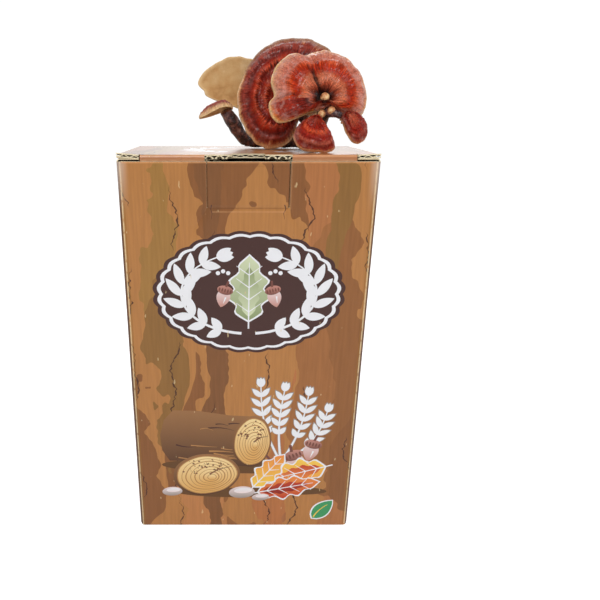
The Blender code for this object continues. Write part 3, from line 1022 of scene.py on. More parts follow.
def blankOfBody(co, middle):
    # The blank's glued seam is at the left end of the back wall
    u = co.x + math.copysign(1, middle.x) * (co.y + halfDepth)
    back = 2 * halfWidth + halfDepth - co.x + co.y
    if middle.y > halfDepth - carton["cornerRadius"] - 1e-5:
        atSeam = middle.x < 0 and middle.y < halfDepth - 1e-5
        u = -(2 * halfWidth + halfDepth + co.x + co.y) if atSeam else back
    v = co.z
    if co.z < carton["ringFoot"] - 1e-6:
        v = co.z - (halfDepth - abs(co.y))
        u = co.x if co.y < 0 else back
    return (u, v)


def makeBody():
    whole, liner, medium = board["thickness"], board["liner"], board["medium"]
    low, high = carton["ringFoot"], carton["ringTop"]
    outer = ringSheet("outer", 0, low, high)
    front = (broad(1, -1), (0, 2), frontPicture())
    back = (broad(1, 1), (0, 2), lonePicture(-1.5, 190, 1, True))
    thickened(outer, liner, "outer", front, back)
    pressCrease(outer)
    fluted = thickened(ringSheet("fluted", whole / 2, low, high, board["ripple"]), medium, "medium")
    inner = thickened(ringSheet("inner", whole - liner, low, high), liner, "inner")
    parts = [outer, fluted, inner]

    # The heights of the walls, and the lock tab's two cuts
    edge, beyond = halfDepth - whole, 2 * halfWidth
    cutAway(parts, [((-beyond, -edge, carton["sideTop"]), (beyond, edge, 1))])
    cuts = [((-beyond, -beyond, carton["frontTop"]), (beyond, -edge + carton["cutOver"], 1))]
    for side, width in zip((-1, 1), carton["tabCuts"]):
        middle = side * carton["tabHalf"]
        foot = (middle - width / 2, -beyond, carton["tabFoot"])
        cuts.append((foot, (middle + width / 2, -edge + carton["tabCutDeeper"], carton["frontTop"] - 1e-5)))
    cutAway(parts, cuts)

    # Front and back walls fold under into the outer bottom flaps
    reach = [halfWidth - inset * mm for inset in carton["footSteps"]]
    ends = [-x for x in reach] + reach[::-1]
    for side in (-1, 1):
        way = (180, 270) if side < 0 else (360, 270)
        under = side * (halfDepth - carton["foldUnder"])

        def folded(depth):
            fold = foldAt((side * halfDepth, 0), way, depth)
            return [((fold[0][0][0], low), fold[0][1])] + fold + [((under, fold[-1][0][1]), fold[-1][1])]

        def level(depth):
            return [((place, depth), (0, -1)) for place in (under, side * carton["seam"])]

        turnedUnder = boardSheets("flap", ends, folded)
        for layer in turnedUnder:
            roundFootCorners(layer)
        parts += turnedUnder
        parts += boardSheets("flap", (-carton["flapHalf"], carton["flapHalf"]), level)
    body = joined("cartonBody", parts)
    layBlank(body, blankOfBody)
    finished(body, "cartonBody", "carton_body")


def roundFootCorners(layer):
    # The fold under follows the rounded corner of the walls
    radius = carton["cornerRadius"]
    for vert in layer.data.vertices:
        out = min(radius, max(0.0, abs(vert.co.x) - halfWidth + radius))
        inset = radius - math.sqrt(radius**2 - out**2)
        vert.co.y -= math.copysign(inset, vert.co.y)
        vert.co.z = max(vert.co.z, min(carton["ringFoot"], inset * 0.9 + vert.co.z * 0.6))


def pressCrease(piece):
    # Presses the crease under the tab into the paper
    widest = carton["creaseRows"][0] * mm
    for vert in piece.data.vertices:
        away = abs(vert.co.z - carton["tabFoot"])
        if away < widest and abs(vert.co.x) < carton["tabHalf"] + 1e-6 and vert.co.y < -halfDepth + 1e-6:
            vert.co.y += carton["creaseDepth"] * (1 - away / widest)


lidPlan = {
    "stripHalf": 74 * mm,
    "foldFront": -51.7 * mm,
    "panelFront": -45.0 * mm,
    "cornerFront": -52.0 * mm,
    "tuckLow": lidLow.z,
    "slotHalf": 30 * mm,
    "slotLow": lidTop - 8.4 * mm,
    "slotSetBack": 1.8 * mm,
    "notchHalf": 11.5 * mm,
    "notchSetBack": 10 * mm,
    "tuckFree": 11 * mm,
    "cornerLift": 1.3 * mm,
    "cornerSlit": 0.8 * mm,
    "cornerBend": 6 * mm,
    "slotDeeper": 0.3 * mm,
}


def blankOfLid(co, _):
    u = 2 * halfDepth + 3 * halfWidth - co.x
    v = co.z + halfDepth - co.y
    if co.y < lidPlan["panelFront"]:
        v = 2 * lidTop - co.z + halfDepth - co.y
    return (u, v)


def makeLid():
    front, panelFront = lidPlan["foldFront"], lidPlan["panelFront"]
    whole, strip = board["thickness"], lidPlan["stripHalf"]

    def panel(depth):
        fold = foldAt((halfDepth, lidTop), (0, 90), depth)
        foot = ((fold[0][0][0], carton["ringTop"]), fold[0][1])
        return [foot] + fold + [((panelFront, lidTop - depth), (0, 1))]

    def folded(depth):
        fold = foldAt((front, lidTop), (90, 180), depth)
        tuck = ((fold[-1][0][0], lidPlan["tuckLow"]), fold[-1][1])
        return [((panelFront, lidTop - depth), (0, 1))] + fold + [tuck]

    def corner(depth):
        return [((place, lidTop - depth), (0, 1)) for place in (panelFront, lidPlan["cornerFront"])]

    top = (broad(2, 1), (0, 1), lonePicture(3, 2, 0.86, False))
    parts = boardSheets("panel", (-halfWidth, halfWidth), panel, arts=[top])
    parts += boardSheets("fold", (-strip, strip), folded)

    # The slot across the fold, the deeper thumb notch in its middle, and the tuck flap's free corners
    beyond, low = 2 * halfWidth, lidPlan["slotLow"]
    half, notch = lidPlan["slotHalf"], lidPlan["notchHalf"]
    slotBack, notchBack = front + lidPlan["slotSetBack"], front + lidPlan["notchSetBack"]
    cutAway(parts, [((x, -beyond, low), (end, slotBack, 1)) for x, end in ((-half, -notch), (notch, half))])
    cutAway(parts, [((-notch, -beyond, low), (notch, notchBack, 1))])
    cutAway(parts, [((-half, -beyond, low), (half, front + whole + lidPlan["slotDeeper"], lidTop - whole))])
    free, foot, tuckBack = lidPlan["tuckFree"], lidPlan["tuckLow"], front + 2 * whole
    corners = [((x - free, -beyond, foot - free), (x + free, tuckBack, foot + free)) for x in (-strip, strip)]
    cutAway(parts, corners, (0, math.pi / 4, 0))
    inner, bend = strip + lidPlan["cornerSlit"], halfWidth - lidPlan["cornerBend"]
    for span in ((-halfWidth, -bend, -inner), (inner, bend, halfWidth)):
        parts += boardSheets("corner", span, corner)
    lid = joined("lid", parts)
    for vert in lid.data.vertices:
        out = smoothStep(strip, halfWidth, abs(vert.co.x))
        out *= smoothStep(-panelFront, -lidPlan["cornerFront"], -vert.co.y)
        vert.co.z += lidPlan["cornerLift"] * out * (1 if vert.co.x < 0 else 0.6)
    layBlank(lid, blankOfLid)
    finished(lid, "lidPanel", "lid")


dustFlap = {
    "top": lidTop - 3.3 * mm,
    "side": 51.7 * mm,
    "reliefX": 74.6 * mm,
    "reliefY": -48.4 * mm,
    "free": -19.0 * mm,
    "freeCorner": 7.07 * mm,
    "liftFrom": -45.0 * mm,
    "liftTo": (halfWidth - 4 * mm, -50 * mm),
    "lift": 0.9 * mm,
}


def makeDustFlaps():
    for side, hand in ((-1, "left"), (1, "right")):
        name, node = "dustFlap" + hand.title(), "dust_flap_" + hand
        free = side * -dustFlap["free"]

        def folded(depth):
            fold = foldAt((side * halfWidth, dustFlap["top"]), (180 if side < 0 else 0, 90), depth)
            foot = ((fold[0][0][0], carton["sideTop"]), fold[0][1])
            return [foot] + fold + [((free, dustFlap["top"] - depth), (0, 1))]

        fullX, fullY = dustFlap["liftTo"]
        span = (-dustFlap["side"], fullY, dustFlap["reliefY"], dustFlap["liftFrom"], dustFlap["side"])
        layers = boardSheets(name, span, folded, axis=1)
        for layer in layers:
            for vert in layer.data.vertices:
                out = smoothStep(dustFlap["reliefX"], fullX, abs(vert.co.x))
                out *= smoothStep(dustFlap["liftFrom"], -dustFlap["side"], vert.co.y)
                vert.co.z += dustFlap["lift"] * out
        inner = sorted((side * dustFlap["reliefX"], side * mm))
        cutAway(layers, [((inner[0], -1, 0), (inner[1], dustFlap["reliefY"], 1))])
        cutFreeCorners(layers, free, (dustFlap["reliefY"], dustFlap["side"]), dustFlap["freeCorner"])
        flap = joined(name, layers)
        layBlank(flap, lambda co, _: (side * (halfWidth + co.y + halfDepth), co.z + halfWidth - abs(co.x)))
        finished(flap, name, node)


# Inside the carton

bottomFlap = {
    "level": 3.3 * mm,
    "hinge": 86.7 * mm,
    "free": 32 * mm,
    "side": 51.7 * mm,
    "freeCorner": 5.66 * mm,
}
bag = {
    "size": (160 * mm, 92 * mm),
    "mesh": (220, 150),
    # The way from the middle of the foot over the shoulder to the folded top: share, width, depth, height
    "path": (
        (0.0, 0.0, 0.0, 8.6), (0.14, 0.9, 0.88, 8.0), (0.19, 0.985, 0.975, 14), (0.24, 0.99, 0.985, 30),
        (0.6, 0.995, 0.99, 226), (0.66, 0.98, 0.95, 240), (0.74, 0.93, 0.62, 256), (0.84, 0.88, 0.4, 276),
        (0.94, 0.84, 0.3, 294), (0.97, 0.8, 0.24, 296), (1.0, 0.0, 0.0, 293),
    ),
    "square": 6.0,
    "pleats": 2.2,
    "sawdust": ((0.32, (120, 84, 50)), (0.5, (168, 124, 78)), (0.68, (196, 156, 108))),
    "mycelium": (238, 232, 216),
}


def makeBottomFlaps():
    for side, hand in ((-1, "left"), (1, "right")):
        name, node = "bottomFlap" + hand.title(), "bottom_flap_" + hand

        def level(depth):
            top = bottomFlap["level"] + board["thickness"] - depth
            return [((side * place, top), (0, 1)) for place in (bottomFlap["hinge"], bottomFlap["free"])]

        rows = (-bottomFlap["side"], bottomFlap["side"])
        layers = boardSheets(name, rows, level, axis=1)
        cutFreeCorners(layers, side * bottomFlap["free"], rows, bottomFlap["freeCorner"])
        flap = joined(name, layers)
        layBlank(flap, lambda co, _: (side * (halfWidth + co.y + halfDepth), abs(co.x) - halfWidth))
        finished(flap, name, node)


def bagAlong(share):
    # Width, depth and height of the bag at this share of its path
    path = bag["path"]
    after = max(1, next((i for i, entry in enumerate(path) if entry[0] >= share), len(path) - 1))
    low, high = path[after - 1], path[after]
    part = (share - low[0]) / (high[0] - low[0])
    return [a + (b - a) * part for a, b in zip(low[1:], high[1:])]


def makeBag():
    # A block of sawdust in a film that is gathered into pleats and folded flat over it
    segments, rings = bag["mesh"]
    bpy.ops.mesh.primitive_uv_sphere_add(segments=segments, ring_count=rings, radius=1)
    piece = bpy.context.object
    for vert in piece.data.vertices:
        share = 0.5 + math.asin(max(-1, min(1, vert.co.z))) / math.pi
        angle = math.atan2(vert.co.y, vert.co.x)
        wide, deep, height = bagAlong(share)
        ways = (math.cos(angle), math.sin(angle))
        ways = [math.copysign(abs(way) ** (2 / bag["square"]), way) for way in ways]
        x, y = ways[0] * wide * bag["size"][0] / 2, ways[1] * deep * bag["size"][1] / 2
        neck = smoothStep(0.6, 0.74, share) * smoothStep(1.0, 0.97, share)
        pleat = math.sin(x / mm * 0.9 + 3 * noise.noise(Vector((x / mm * 0.05, share * 6, 2))))
        dent = noise.noise(Vector((x, y, height * mm)) * 45) * 0.6 - 0.6
        crease = abs(noise.noise(Vector((x, y, height * mm)) * 110)) * -0.9
        inward = (dent + crease) * smoothStep(0.1, 0.2, share) - neck * bag["pleats"] * (0.5 + 0.5 * pleat)
        y += math.copysign(min(abs(y), -inward * mm), -y)
        x *= 1 + (dent + crease) * 0.008
        vert.co = (x, y, height * mm)
    setSkins(piece, skins["bag"])
    finished(piece, "growBag", "grow_bag", angle=60)


def bagSkin():
    # Sawdust flecks under patches of white mycelium, seen through a clear film
    skin = newSkin("bagSkin", Roughness=0.5, Coat_Weight=0.8, Coat_Roughness=0.1)
    place = objectPlace(skin)
    fleck = noiseOn(stretched(place, (420, 420, 900)), detail=4, rough=0.7)
    grown = between(noiseOn(place, 26.0, detail=6, rough=0.65), 0.42, 0.56)
    dress(skin, Base_Color=painted(rampOf(fleck, bag["sawdust"]), [(bag["mycelium"], grown * 0.85)]))
    return bumped(skin, fleck + grown * 0.6, 0.0006)


# The reishi cluster

cluster = {
    "x": 25 * mm,
    "floor": lidTop + 0.3 * mm,
}
caps = {
    "frontCap": {
        "node": "front_cap",
        "slot": "reishi_cap",
        "centre": (27.7, -23.0, 34.3),
        "faces": (4, 20),
        "outline": (
            (-37, 10), (-30, 19.5), (-21, 28), (-13, 31.4), (1, 32.8), (20, 33.8), (38, 36), (60, 38.2),
            (82, 38), (96, 37), (108, 35.4), (117, 39.2), (130, 41), (144, 40.8), (159, 38.1), (171, 34),
            (179, 37.2), (190, 37.3), (198, 36), (204, 33.6), (208, 27), (212, 18), (220, 10), (262, 7),
            (304, 7.5),
        ),
        "half": 3.6,
        "dome": 5.5,
        "dish": 3.0,
        "curl": 4.0,
        "wave": (1.3, 3, 40),
        "ridges": ((0.42, 0.8), (0.68, 0.9), (0.86, 0.6)),
        "mesh": (300, 150),
        # Furrows: direction, from and to as shares of the radius, and depth
        "furrows": ((113, 0.06, 0.66, 2.4), (174, 0.55, 1.0, 1.2), (262, 0.0, 0.8, 1.6)),
        "hollow": 2.4,
        "shade": 8.5,
        "zones": (
            (0.0, (16, 7, 7)), (0.1, (42, 14, 12)), (0.17, (104, 42, 28)), (0.26, (164, 88, 66)),
            (0.36, (194, 130, 108)), (0.44, (186, 108, 80)), (0.5, (158, 56, 26)), (0.57, (160, 46, 10)),
            (0.64, (168, 56, 14)), (0.69, (182, 84, 46)), (0.76, (192, 104, 82)), (0.86, (200, 118, 96)),
            (0.94, (208, 136, 106)), (0.972, (224, 164, 120)), (0.992, (244, 208, 150)),
        ),
        "lobe": (205, 26, 0.35),
        "lobeZones": (
            (0.3, (74, 20, 14)), (0.45, (118, 30, 16)), (0.62, (150, 42, 16)), (0.78, (146, 44, 26)),
            (0.88, (158, 52, 30)), (0.94, (210, 104, 52)), (0.97, (226, 146, 84)),
            (0.99, (244, 204, 140)),
        ),
        "gloss": 0.36,
        "matteRim": 0.56,
        "shine": 0.7,
        "bloomAndSheen": 0.36,
    },
    "rearCap": {
        "node": "rear_cap",
        "slot": "reishi_cap_dark",
        "centre": (2.0, 5.0, 35.5),
        "faces": (-8, 13),
        "outline": (
            (-40, 19), (-24, 26), (-8, 36), (14, 43), (36, 48), (58, 49.5), (80, 46.8), (103, 44),
            (125, 39.4), (150, 35.6), (173, 34.6), (200, 33.8), (224, 35.2), (245, 36.6), (266, 34.6),
            (288, 29), (306, 21),
        ),
        "half": 4.4,
        "dome": 4.0,
        "dish": 5.0,
        "curl": 3.0,
        "wave": (1.6, 2, 100),
        "ridges": ((0.36, 1.3), (0.6, 1.5), (0.84, 1.4)),
        "mesh": (300, 150),
        "zones": (
            (0.0, (112, 36, 28)), (0.2, (166, 60, 42)), (0.31, (116, 30, 18)), (0.36, (188, 92, 66)),
            (0.44, (138, 40, 24)), (0.53, (100, 24, 14)), (0.6, (184, 84, 60)), (0.67, (142, 42, 24)),
            (0.76, (98, 22, 14)), (0.84, (156, 62, 48)), (0.89, (134, 46, 32)), (0.925, (170, 86, 52)),
            (0.955, (222, 164, 116)), (0.985, (246, 214, 168)),
        ),
        "darkTop": (0.3, 0.8),
        "gloss": 0.3,
        "matteRim": 0.4,
        "shine": 0.5,
        "bloomAndSheen": 0.12,
    },
    "leftCap": {
        "node": "left_cap",
        "slot": "reishi_cap_dark",
        "centre": (-21.0, 22.0, 39.0),
        "faces": (176, -7),
        "outline": (
            (-36, 15), (-20, 20), (-8, 27), (0, 35), (6, 37), (11, 42), (20, 41.8), (34, 38), (54, 33.6),
            (68, 30), (86, 26.8), (110, 25), (140, 24), (175, 22), (205, 19), (240, 14), (285, 12),
        ),
        "half": 3.4,
        "dome": 3.5,
        "dish": 0.0,
        "curl": 2.5,
        "wave": (1.2, 3, 10),
        "ridges": ((0.5, 0.7), (0.8, 0.8)),
        "mesh": (220, 110),
        "zones": (
            (0.0, (104, 34, 28)), (0.3, (128, 42, 32)), (0.5, (150, 62, 48)), (0.62, (110, 30, 22)),
            (0.8, (152, 78, 66)), (0.93, (176, 112, 84)), (0.98, (226, 184, 130)),
        ),
        "gloss": 0.3,
        "matteRim": 0.45,
        "shine": 0.4,
        "bloomAndSheen": 0.2,
    },
    "edgeCap": {
        "node": "edge_cap",
        "slot": "reishi_cap_dark",
        "centre": (-44.6, 8.0, 30.4),
        "faces": (235, 70),
        "outline": ((-53, 18), (-30, 13.5), (0, 10.5), (33, 9.5), (80, 9), (127, 9), (213, 9), (280, 13)),
        "half": 2.2,
        "dome": 2.2,
        "dish": 0.0,
        "curl": 2.2,
        "wave": (0.7, 2, 0),
        "ridges": ((0.6, 0.4),),
        "mesh": (160, 80),
        "zones": (
            (0.0, (92, 40, 48)), (0.3, (134, 76, 84)), (0.55, (176, 130, 134)), (0.75, (150, 70, 66)),
            (0.9, (188, 130, 100)), (0.97, (228, 186, 136)),
        ),
        "gloss": 0.36,
        "matteRim": 0.5,
        "shine": 0.3,
        "bloomAndSheen": 0.3,
    },
    "middleSmallCap": {
        "node": "middle_small_cap",
        "slot": "reishi_cap",
        "centre": (23.6, -26.5, 20.6),
        "faces": (-4, 32),
        "outline": (
            (30, 4.6), (112, 4.6), (170, 7.6), (190, 12.4), (209, 18), (228, 21.4), (250, 22), (272, 21.8),
            (290, 23.5), (301, 23.7), (312, 20), (322, 12), (345, 6.4),
        ),
        "half": 3.0,
        "dome": 3.0,
        "dish": 0.6,
        "curl": 3.0,
        "wave": (0.6, 2, 30),
        "ridges": ((0.5, 0.7), (0.8, 0.6)),
        "mesh": (200, 100),
        "zones": (
            (0.0, (150, 70, 54)), (0.22, (148, 48, 30)), (0.38, (150, 34, 20)), (0.52, (196, 92, 62)),
            (0.62, (150, 44, 28)), (0.74, (128, 28, 20)), (0.84, (176, 84, 64)), (0.92, (124, 28, 22)),
            (0.965, (168, 70, 48)), (0.985, (224, 164, 118)),
        ),
        "gloss": 0.3,
        "matteRim": 0.4,
        "shine": 0.45,
        "bloomAndSheen": 0.2,
    },
    "rightSmallCap": {
        "node": "right_small_cap",
        "slot": "reishi_cap",
        "centre": (43.9, -31.0, 23.6),
        "faces": (10, 24),
        "outline": (
            (15, 9), (40, 5), (90, 3.4), (180, 3.8), (220, 4.2), (258, 6.4), (272, 11.4), (284, 17.4),
            (298, 20.4), (317, 19.8), (340, 17), (0, 12.6),
        ),
        "half": 2.8,
        "dome": 2.4,
        "dish": 0.4,
        "curl": 2.4,
        "wave": (0.5, 2, 0),
        "ridges": ((0.6, 0.5),),
        "mesh": (180, 90),
        "zones": (
            (0.0, (190, 110, 92)), (0.3, (180, 98, 80)), (0.5, (150, 50, 34)), (0.66, (136, 32, 20)),
            (0.8, (150, 58, 44)), (0.92, (134, 40, 28)), (0.97, (176, 92, 62)), (0.99, (220, 160, 116)),
        ),
        "gloss": 0.3,
        "matteRim": 0.4,
        "shine": 0.45,
        "bloomAndSheen": 0.25,
    },
}
# What all the caps' upper sides share: where each layer starts and ends, screen colours, and factors on them
lacquer = {
    "rim": (0.66, 0.8),
    "arcReach": ((0.16, 0.26), (0.56, 0.46)),
    "arcPatches": (0.5, 0.62),
    "bloomPatches": (0.46, 0.62),
    "wetPatches": (0.46, 0.58),
    "lobeEdge": (0.8, 1.0),
    "darkEdge": (0.86, 0.95),
    "wrinkleHeight": 0.00042,
    "deepFactor": (1.12, 0.7, 0.48, 1.0),
    "specks": ((0.3, 0.5), (0.5, 1.0), (0.72, 1.3)),
    "strokes": ((0.36, 0.42), (0.5, 1.0), (0.62, 1.5)),
    # Pale arcs as painted highlights
    "arc": (214, 140, 112),
    "darkTop": (112, 52, 42),
    # Spore dust near the rim, partly a painted sheen
    "bloomAndSheen": (222, 176, 166),
    # Painted shade in the furrows
    "furrowShade": (38, 12, 11),
    # Painted shade in the hollow round the hub
    "hollow": (20, 8, 8),
}
pores = {
    "tones": (
        (0.28, (176, 124, 68)), (0.42, (202, 154, 96)), (0.56, (212, 172, 118)), (0.7, (226, 196, 152)),
    ),
    "stain": (172, 116, 60),
    "margin": (226, 190, 138),
    "dots": ((0.1, 0.86), (0.4, 1.03)),
}


def clusterPoint(place):
    x, y, z = place
    return Vector((cluster["x"] + x * mm, y * mm, cluster["floor"] + z * mm))


def smoothRadius(outline, degrees):
    # The outline's radius in a direction, by a smooth curve through its points
    points = sorted((angle % 360, radius) for angle, radius in outline)
    count = len(points)
    degrees %= 360
    after = next((i for i, (angle, _) in enumerate(points) if angle > degrees), 0)
    angles, radii = zip(*(points[(after + step) % count] for step in (-2, -1, 0, 1)))
    span = (angles[2] - angles[1]) % 360
    share = ((degrees - angles[1]) % 360) / span
    before, behind = (angles[1] - angles[0]) % 360, (angles[3] - angles[2]) % 360
    leave = (radii[2] - radii[0]) / (span + before) * span
    arrive = (radii[3] - radii[1]) / (span + behind) * span
    square, cube = share**2, share**3
    start = (2 * cube - 3 * square + 1) * radii[1] + (cube - 2 * square + share) * leave
    return start + (3 * square - 2 * cube) * radii[2] + (cube - square) * arrive


def facing(azimuth, elevation):
    turn, rise = math.radians(azimuth), math.radians(elevation)
    normal = Vector((math.sin(turn) * math.cos(rise), -math.cos(turn) * math.cos(rise), math.sin(rise)))
    up = (Vector((0, 0, 1)) - normal * normal.z).normalized()
    return up.cross(normal), up, normal


def angleFrom(angle, degrees):
    return (math.degrees(angle) - degrees + 180) % 360 - 180


def furrowAt(spec, angle, share, reach, seed):
    # How deep the cap's furrows run here, in millimetres
    made = 0.0
    for degrees, start, end, depth in spec.get("furrows", ()):
        bent = degrees + 9 * noise.noise(Vector((share * 4, seed, degrees)))
        off = math.radians(angleFrom(angle, bent)) * share * reach
        reachOf = smoothStep(start - 0.06, start + 0.06, share) * smoothStep(end + 0.06, end - 0.14, share)
        made += depth * math.exp(-((off / 1.4) ** 2)) * reachOf
    return made


def relief(spec, angle, share, top, reach, seed):
    # The fine surface in millimetres: growth rings, radial wrinkles, lumps and furrows, and a plain pore side
    around = Vector((math.cos(angle), math.sin(angle), 0))
    edge = smoothStep(1.0, 0.9, share)
    lumps = noise.noise(around * share * reach * 0.14 + Vector((seed, 0, 3))) * 0.5
    if not top:
        return lumps * 0.5 * edge
    warp = noise.noise(around * 1.7 + Vector((seed, 5, share * 2)))
    rings = math.sin(share * 46 + warp * 5) * 0.16 * (0.35 + smoothStep(0.15, 0.5, share)) * edge
    fine = noise.noise(around * 13 + Vector((0, seed, share * 2.4))) * 0.5
    fine += noise.noise(around * 30 + Vector((0, seed, share * 4))) * 0.4
    wrinkles = fine * smoothStep(0.04, 0.25, share) * (0.4 + 0.6 * edge)
    made = lumps + rings + wrinkles - furrowAt(spec, angle, share, reach, seed)
    return made - spec.get("hollow", 0) * smoothStep(0.3, 0.08, share)


def growCap(name, seed):
    # A ball of many rings spread to the cap's outline. Its attributes tell the finish where it grew.
    spec = caps[name]
    segments, rings = spec["mesh"]
    bpy.ops.mesh.primitive_uv_sphere_add(segments=segments, ring_count=rings, radius=1)
    cap = bpy.context.object
    right, up, normal = facing(*spec["faces"])
    centre = clusterPoint(spec["centre"])
    height, waves, phase = spec["wave"]
    places, growth, marks = [], [], []
    for vert in cap.data.vertices:
        share = min(1, math.hypot(vert.co.x, vert.co.y))
        angle = math.atan2(vert.co.y, vert.co.x)
        frill = noise.noise(Vector((math.cos(angle) * 5, math.sin(angle) * 5, seed))) * 0.9
        reach = smoothRadius(spec["outline"], math.degrees(angle)) + frill * share
        middle = spec["dome"] * (1 - share**2) - spec["curl"] * share**6
        middle -= spec["dish"] * math.exp(-((share / 0.25) ** 2))
        middle += height * share**2 * math.sin(waves * angle + math.radians(phase))
        side = math.copysign(math.sqrt(abs(vert.co.z)), vert.co.z)
        if vert.co.z > 0:
            middle += sum(rise * math.exp(-(((share - at) / 0.06) ** 2)) for at, rise in spec["ridges"])
        flat = right * math.cos(angle) + up * math.sin(angle)
        places.append((angle, share, vert.co.z > 0, reach))
        growth.append((math.cos(angle), math.sin(angle), share))
        mask = 0.0
        if "lobe" in spec:
            degrees, width, inner = spec["lobe"]
            mask = smoothStep(width, width * 0.7, abs(angleFrom(angle, degrees)))
            mask *= smoothStep(inner - 0.15, inner + 0.1, share)
        shade = smoothStep(spec["shade"], 1.5, share * reach) if "shade" in spec else 0.0
        marks.append((mask, furrowAt(spec, angle, share, reach, seed), shade))
        vert.co = centre + (flat * share * reach + normal * (middle + side * spec["half"])) * mm
    cap.data.update()
    normals = [vert.normal.copy() for vert in cap.data.vertices]
    for vert, way, (angle, share, top, reach) in zip(cap.data.vertices, normals, places):
        vert.co += way * relief(spec, angle, share, top, reach, seed) * mm
    setSkins(cap, capSkin(name, spec, seed), skins["pores"])
    for face in cap.data.polygons:
        face.use_smooth = True
        face.material_index = 0 if places[face.vertices[0]][2] else 1
    for label, values in (("growth", growth), ("marks", marks)):
        layer = cap.data.attributes.new(label, "FLOAT_VECTOR", "POINT")
        layer.data.foreach_set("vector", [number for value in values for number in value])
    return cap


def growthGroup():
    # Bands that follow the cap's growth, the warped share of the way to the rim, and streaks along the radius
    takes = {"Growth": "Vector", "Place": "Vector", "Seed": "Float"}
    gives = dict.fromkeys(("Band", "Streak", "Arc", "Speck", "Height"), "Float")
    group, (growth, place, seed) = newGroup("capGrowth", takes, gives)
    x, y, share = split(growth)
    slow = noiseOn(combine(x, y + seed, share), 2.6)

    def strokes(count, long):
        return noiseOn(combine(x * count, y * count, share * long), detail=3, rough=0.6)

    streak = strokes(40.0, 5.0) * 0.6 + strokes(13.0, 2.5) * 0.4
    band = share + slow * 0.2 + streak * 0.36 - 0.28
    # Near the rim the warp fades, so that the pale margin stays a thin line
    band = band + (share - band) * between(share, 0.86, 0.97)
    speck = noiseOn(place, 950.0, detail=4, rough=0.65)
    # Pale arcs, which the finish paints as highlights
    arc = between((share * 74 + slow * 26).by("SINE"), 0.45, 0.95)
    height = speck * 0.7 + noiseOn(place, 2300.0) * 0.3 + streak * 1.5
    return closeGroup(group, Band=band, Streak=streak, Arc=arc, Speck=speck, Height=height)


def capSkin(name, spec, seed):
    # Lacquered bands with radial strokes, painted highlights as pale arcs, spore dust with a painted sheen,
    # painted shade in the furrows and round the hub, and glossy patches
    skin = newSkin(name + "Skin", Specular_IOR_Level=0.12, Coat_Roughness=0.14)
    growth, place = attributeOf(skin, "growth"), objectPlace(skin)
    _, upward, share = split(growth)
    lobe, furrowShade, shade = split(attributeOf(skin, "marks"))
    values = placeGroup(groups["growth"], Growth=growth, Place=place, Seed=float(seed))
    band, streak, arc, speck, height = values
    starts, ends = lacquer["arcReach"]
    rim = between(share, *lacquer["rim"])
    inner = between(share, *starts) * between(share, *ends)
    patches = noiseOn(place, 170.0, detail=4, rough=0.6)
    wet = between(noiseOn(place, 150.0, detail=3), *lacquer["wetPatches"])

    colour = rampOf(band, spec["zones"])
    if "lobe" in spec:
        onLobe = between(lobe + streak, *lacquer["lobeEdge"])
        colour = mixed(onLobe, colour, rampOf(band, spec["lobeZones"]))
    for strength, factor in (
        (rim * -0.8 + 0.9, lacquer["deepFactor"]),
        (1.0, rampOf(speck, lacquer["specks"])),
        (rim * -0.6 + 0.95, rampOf(streak, lacquer["strokes"])),
    ):
        colour = mixed(strength, colour, factor, "MULTIPLY")
    # Painted highlights as pale arcs in the inner zone
    layers = [(lacquer["arc"], arc * between(patches, *lacquer["arcPatches"]) * inner * 0.4)]
    if "darkTop" in spec:
        above = between(upward, *spec["darkTop"]) * between(share, *lacquer["darkEdge"])
        layers.append((lacquer["darkTop"], above * 0.72))
    # Spore dust near the rim, partly a painted sheen
    layers.append((lacquer["bloomAndSheen"], between(patches, *lacquer["bloomPatches"]) * rim * spec["bloomAndSheen"]))
    # Painted shade along the furrows
    layers.append((lacquer["furrowShade"], furrowShade * 0.36))
    # Painted shade, near black, round the hub
    layers.append((lacquer["hollow"], shade * 0.94))
    gloss = rim * (spec["matteRim"] - spec["gloss"]) + spec["gloss"] + (speck * 0.3 - 0.15)
    dress(skin, Base_Color=painted(colour, layers), Roughness=gloss, Coat_Weight=wet * spec["shine"])
    return bumped(skin, height, lacquer["wrinkleHeight"])


def poreSkin():
    skin = newSkin("poreSkin", Roughness=0.72)
    place = objectPlace(skin)
    share = split(attributeOf(skin, "growth"))[2]
    cloud = noiseOn(place, 55.0, detail=5, rough=0.62)
    stain = between(noiseOn(place, 34.0, detail=4), 0.5, 0.66)
    holes = wired("TexVoronoi", {"Vector": place, "Scale": 2600}, "Distance", feature="F1")
    layers = [(pores["stain"], stain * 0.5), (pores["margin"], between(share, 0.9, 0.99))]
    colour = painted(rampOf(cloud, pores["tones"]), layers)
    dress(skin, Base_Color=mixed(1.0, colour, rampOf(holes, pores["dots"]), "MULTIPLY"))
    return bumped(skin, cloud + holes * 0.25, 0.0004)


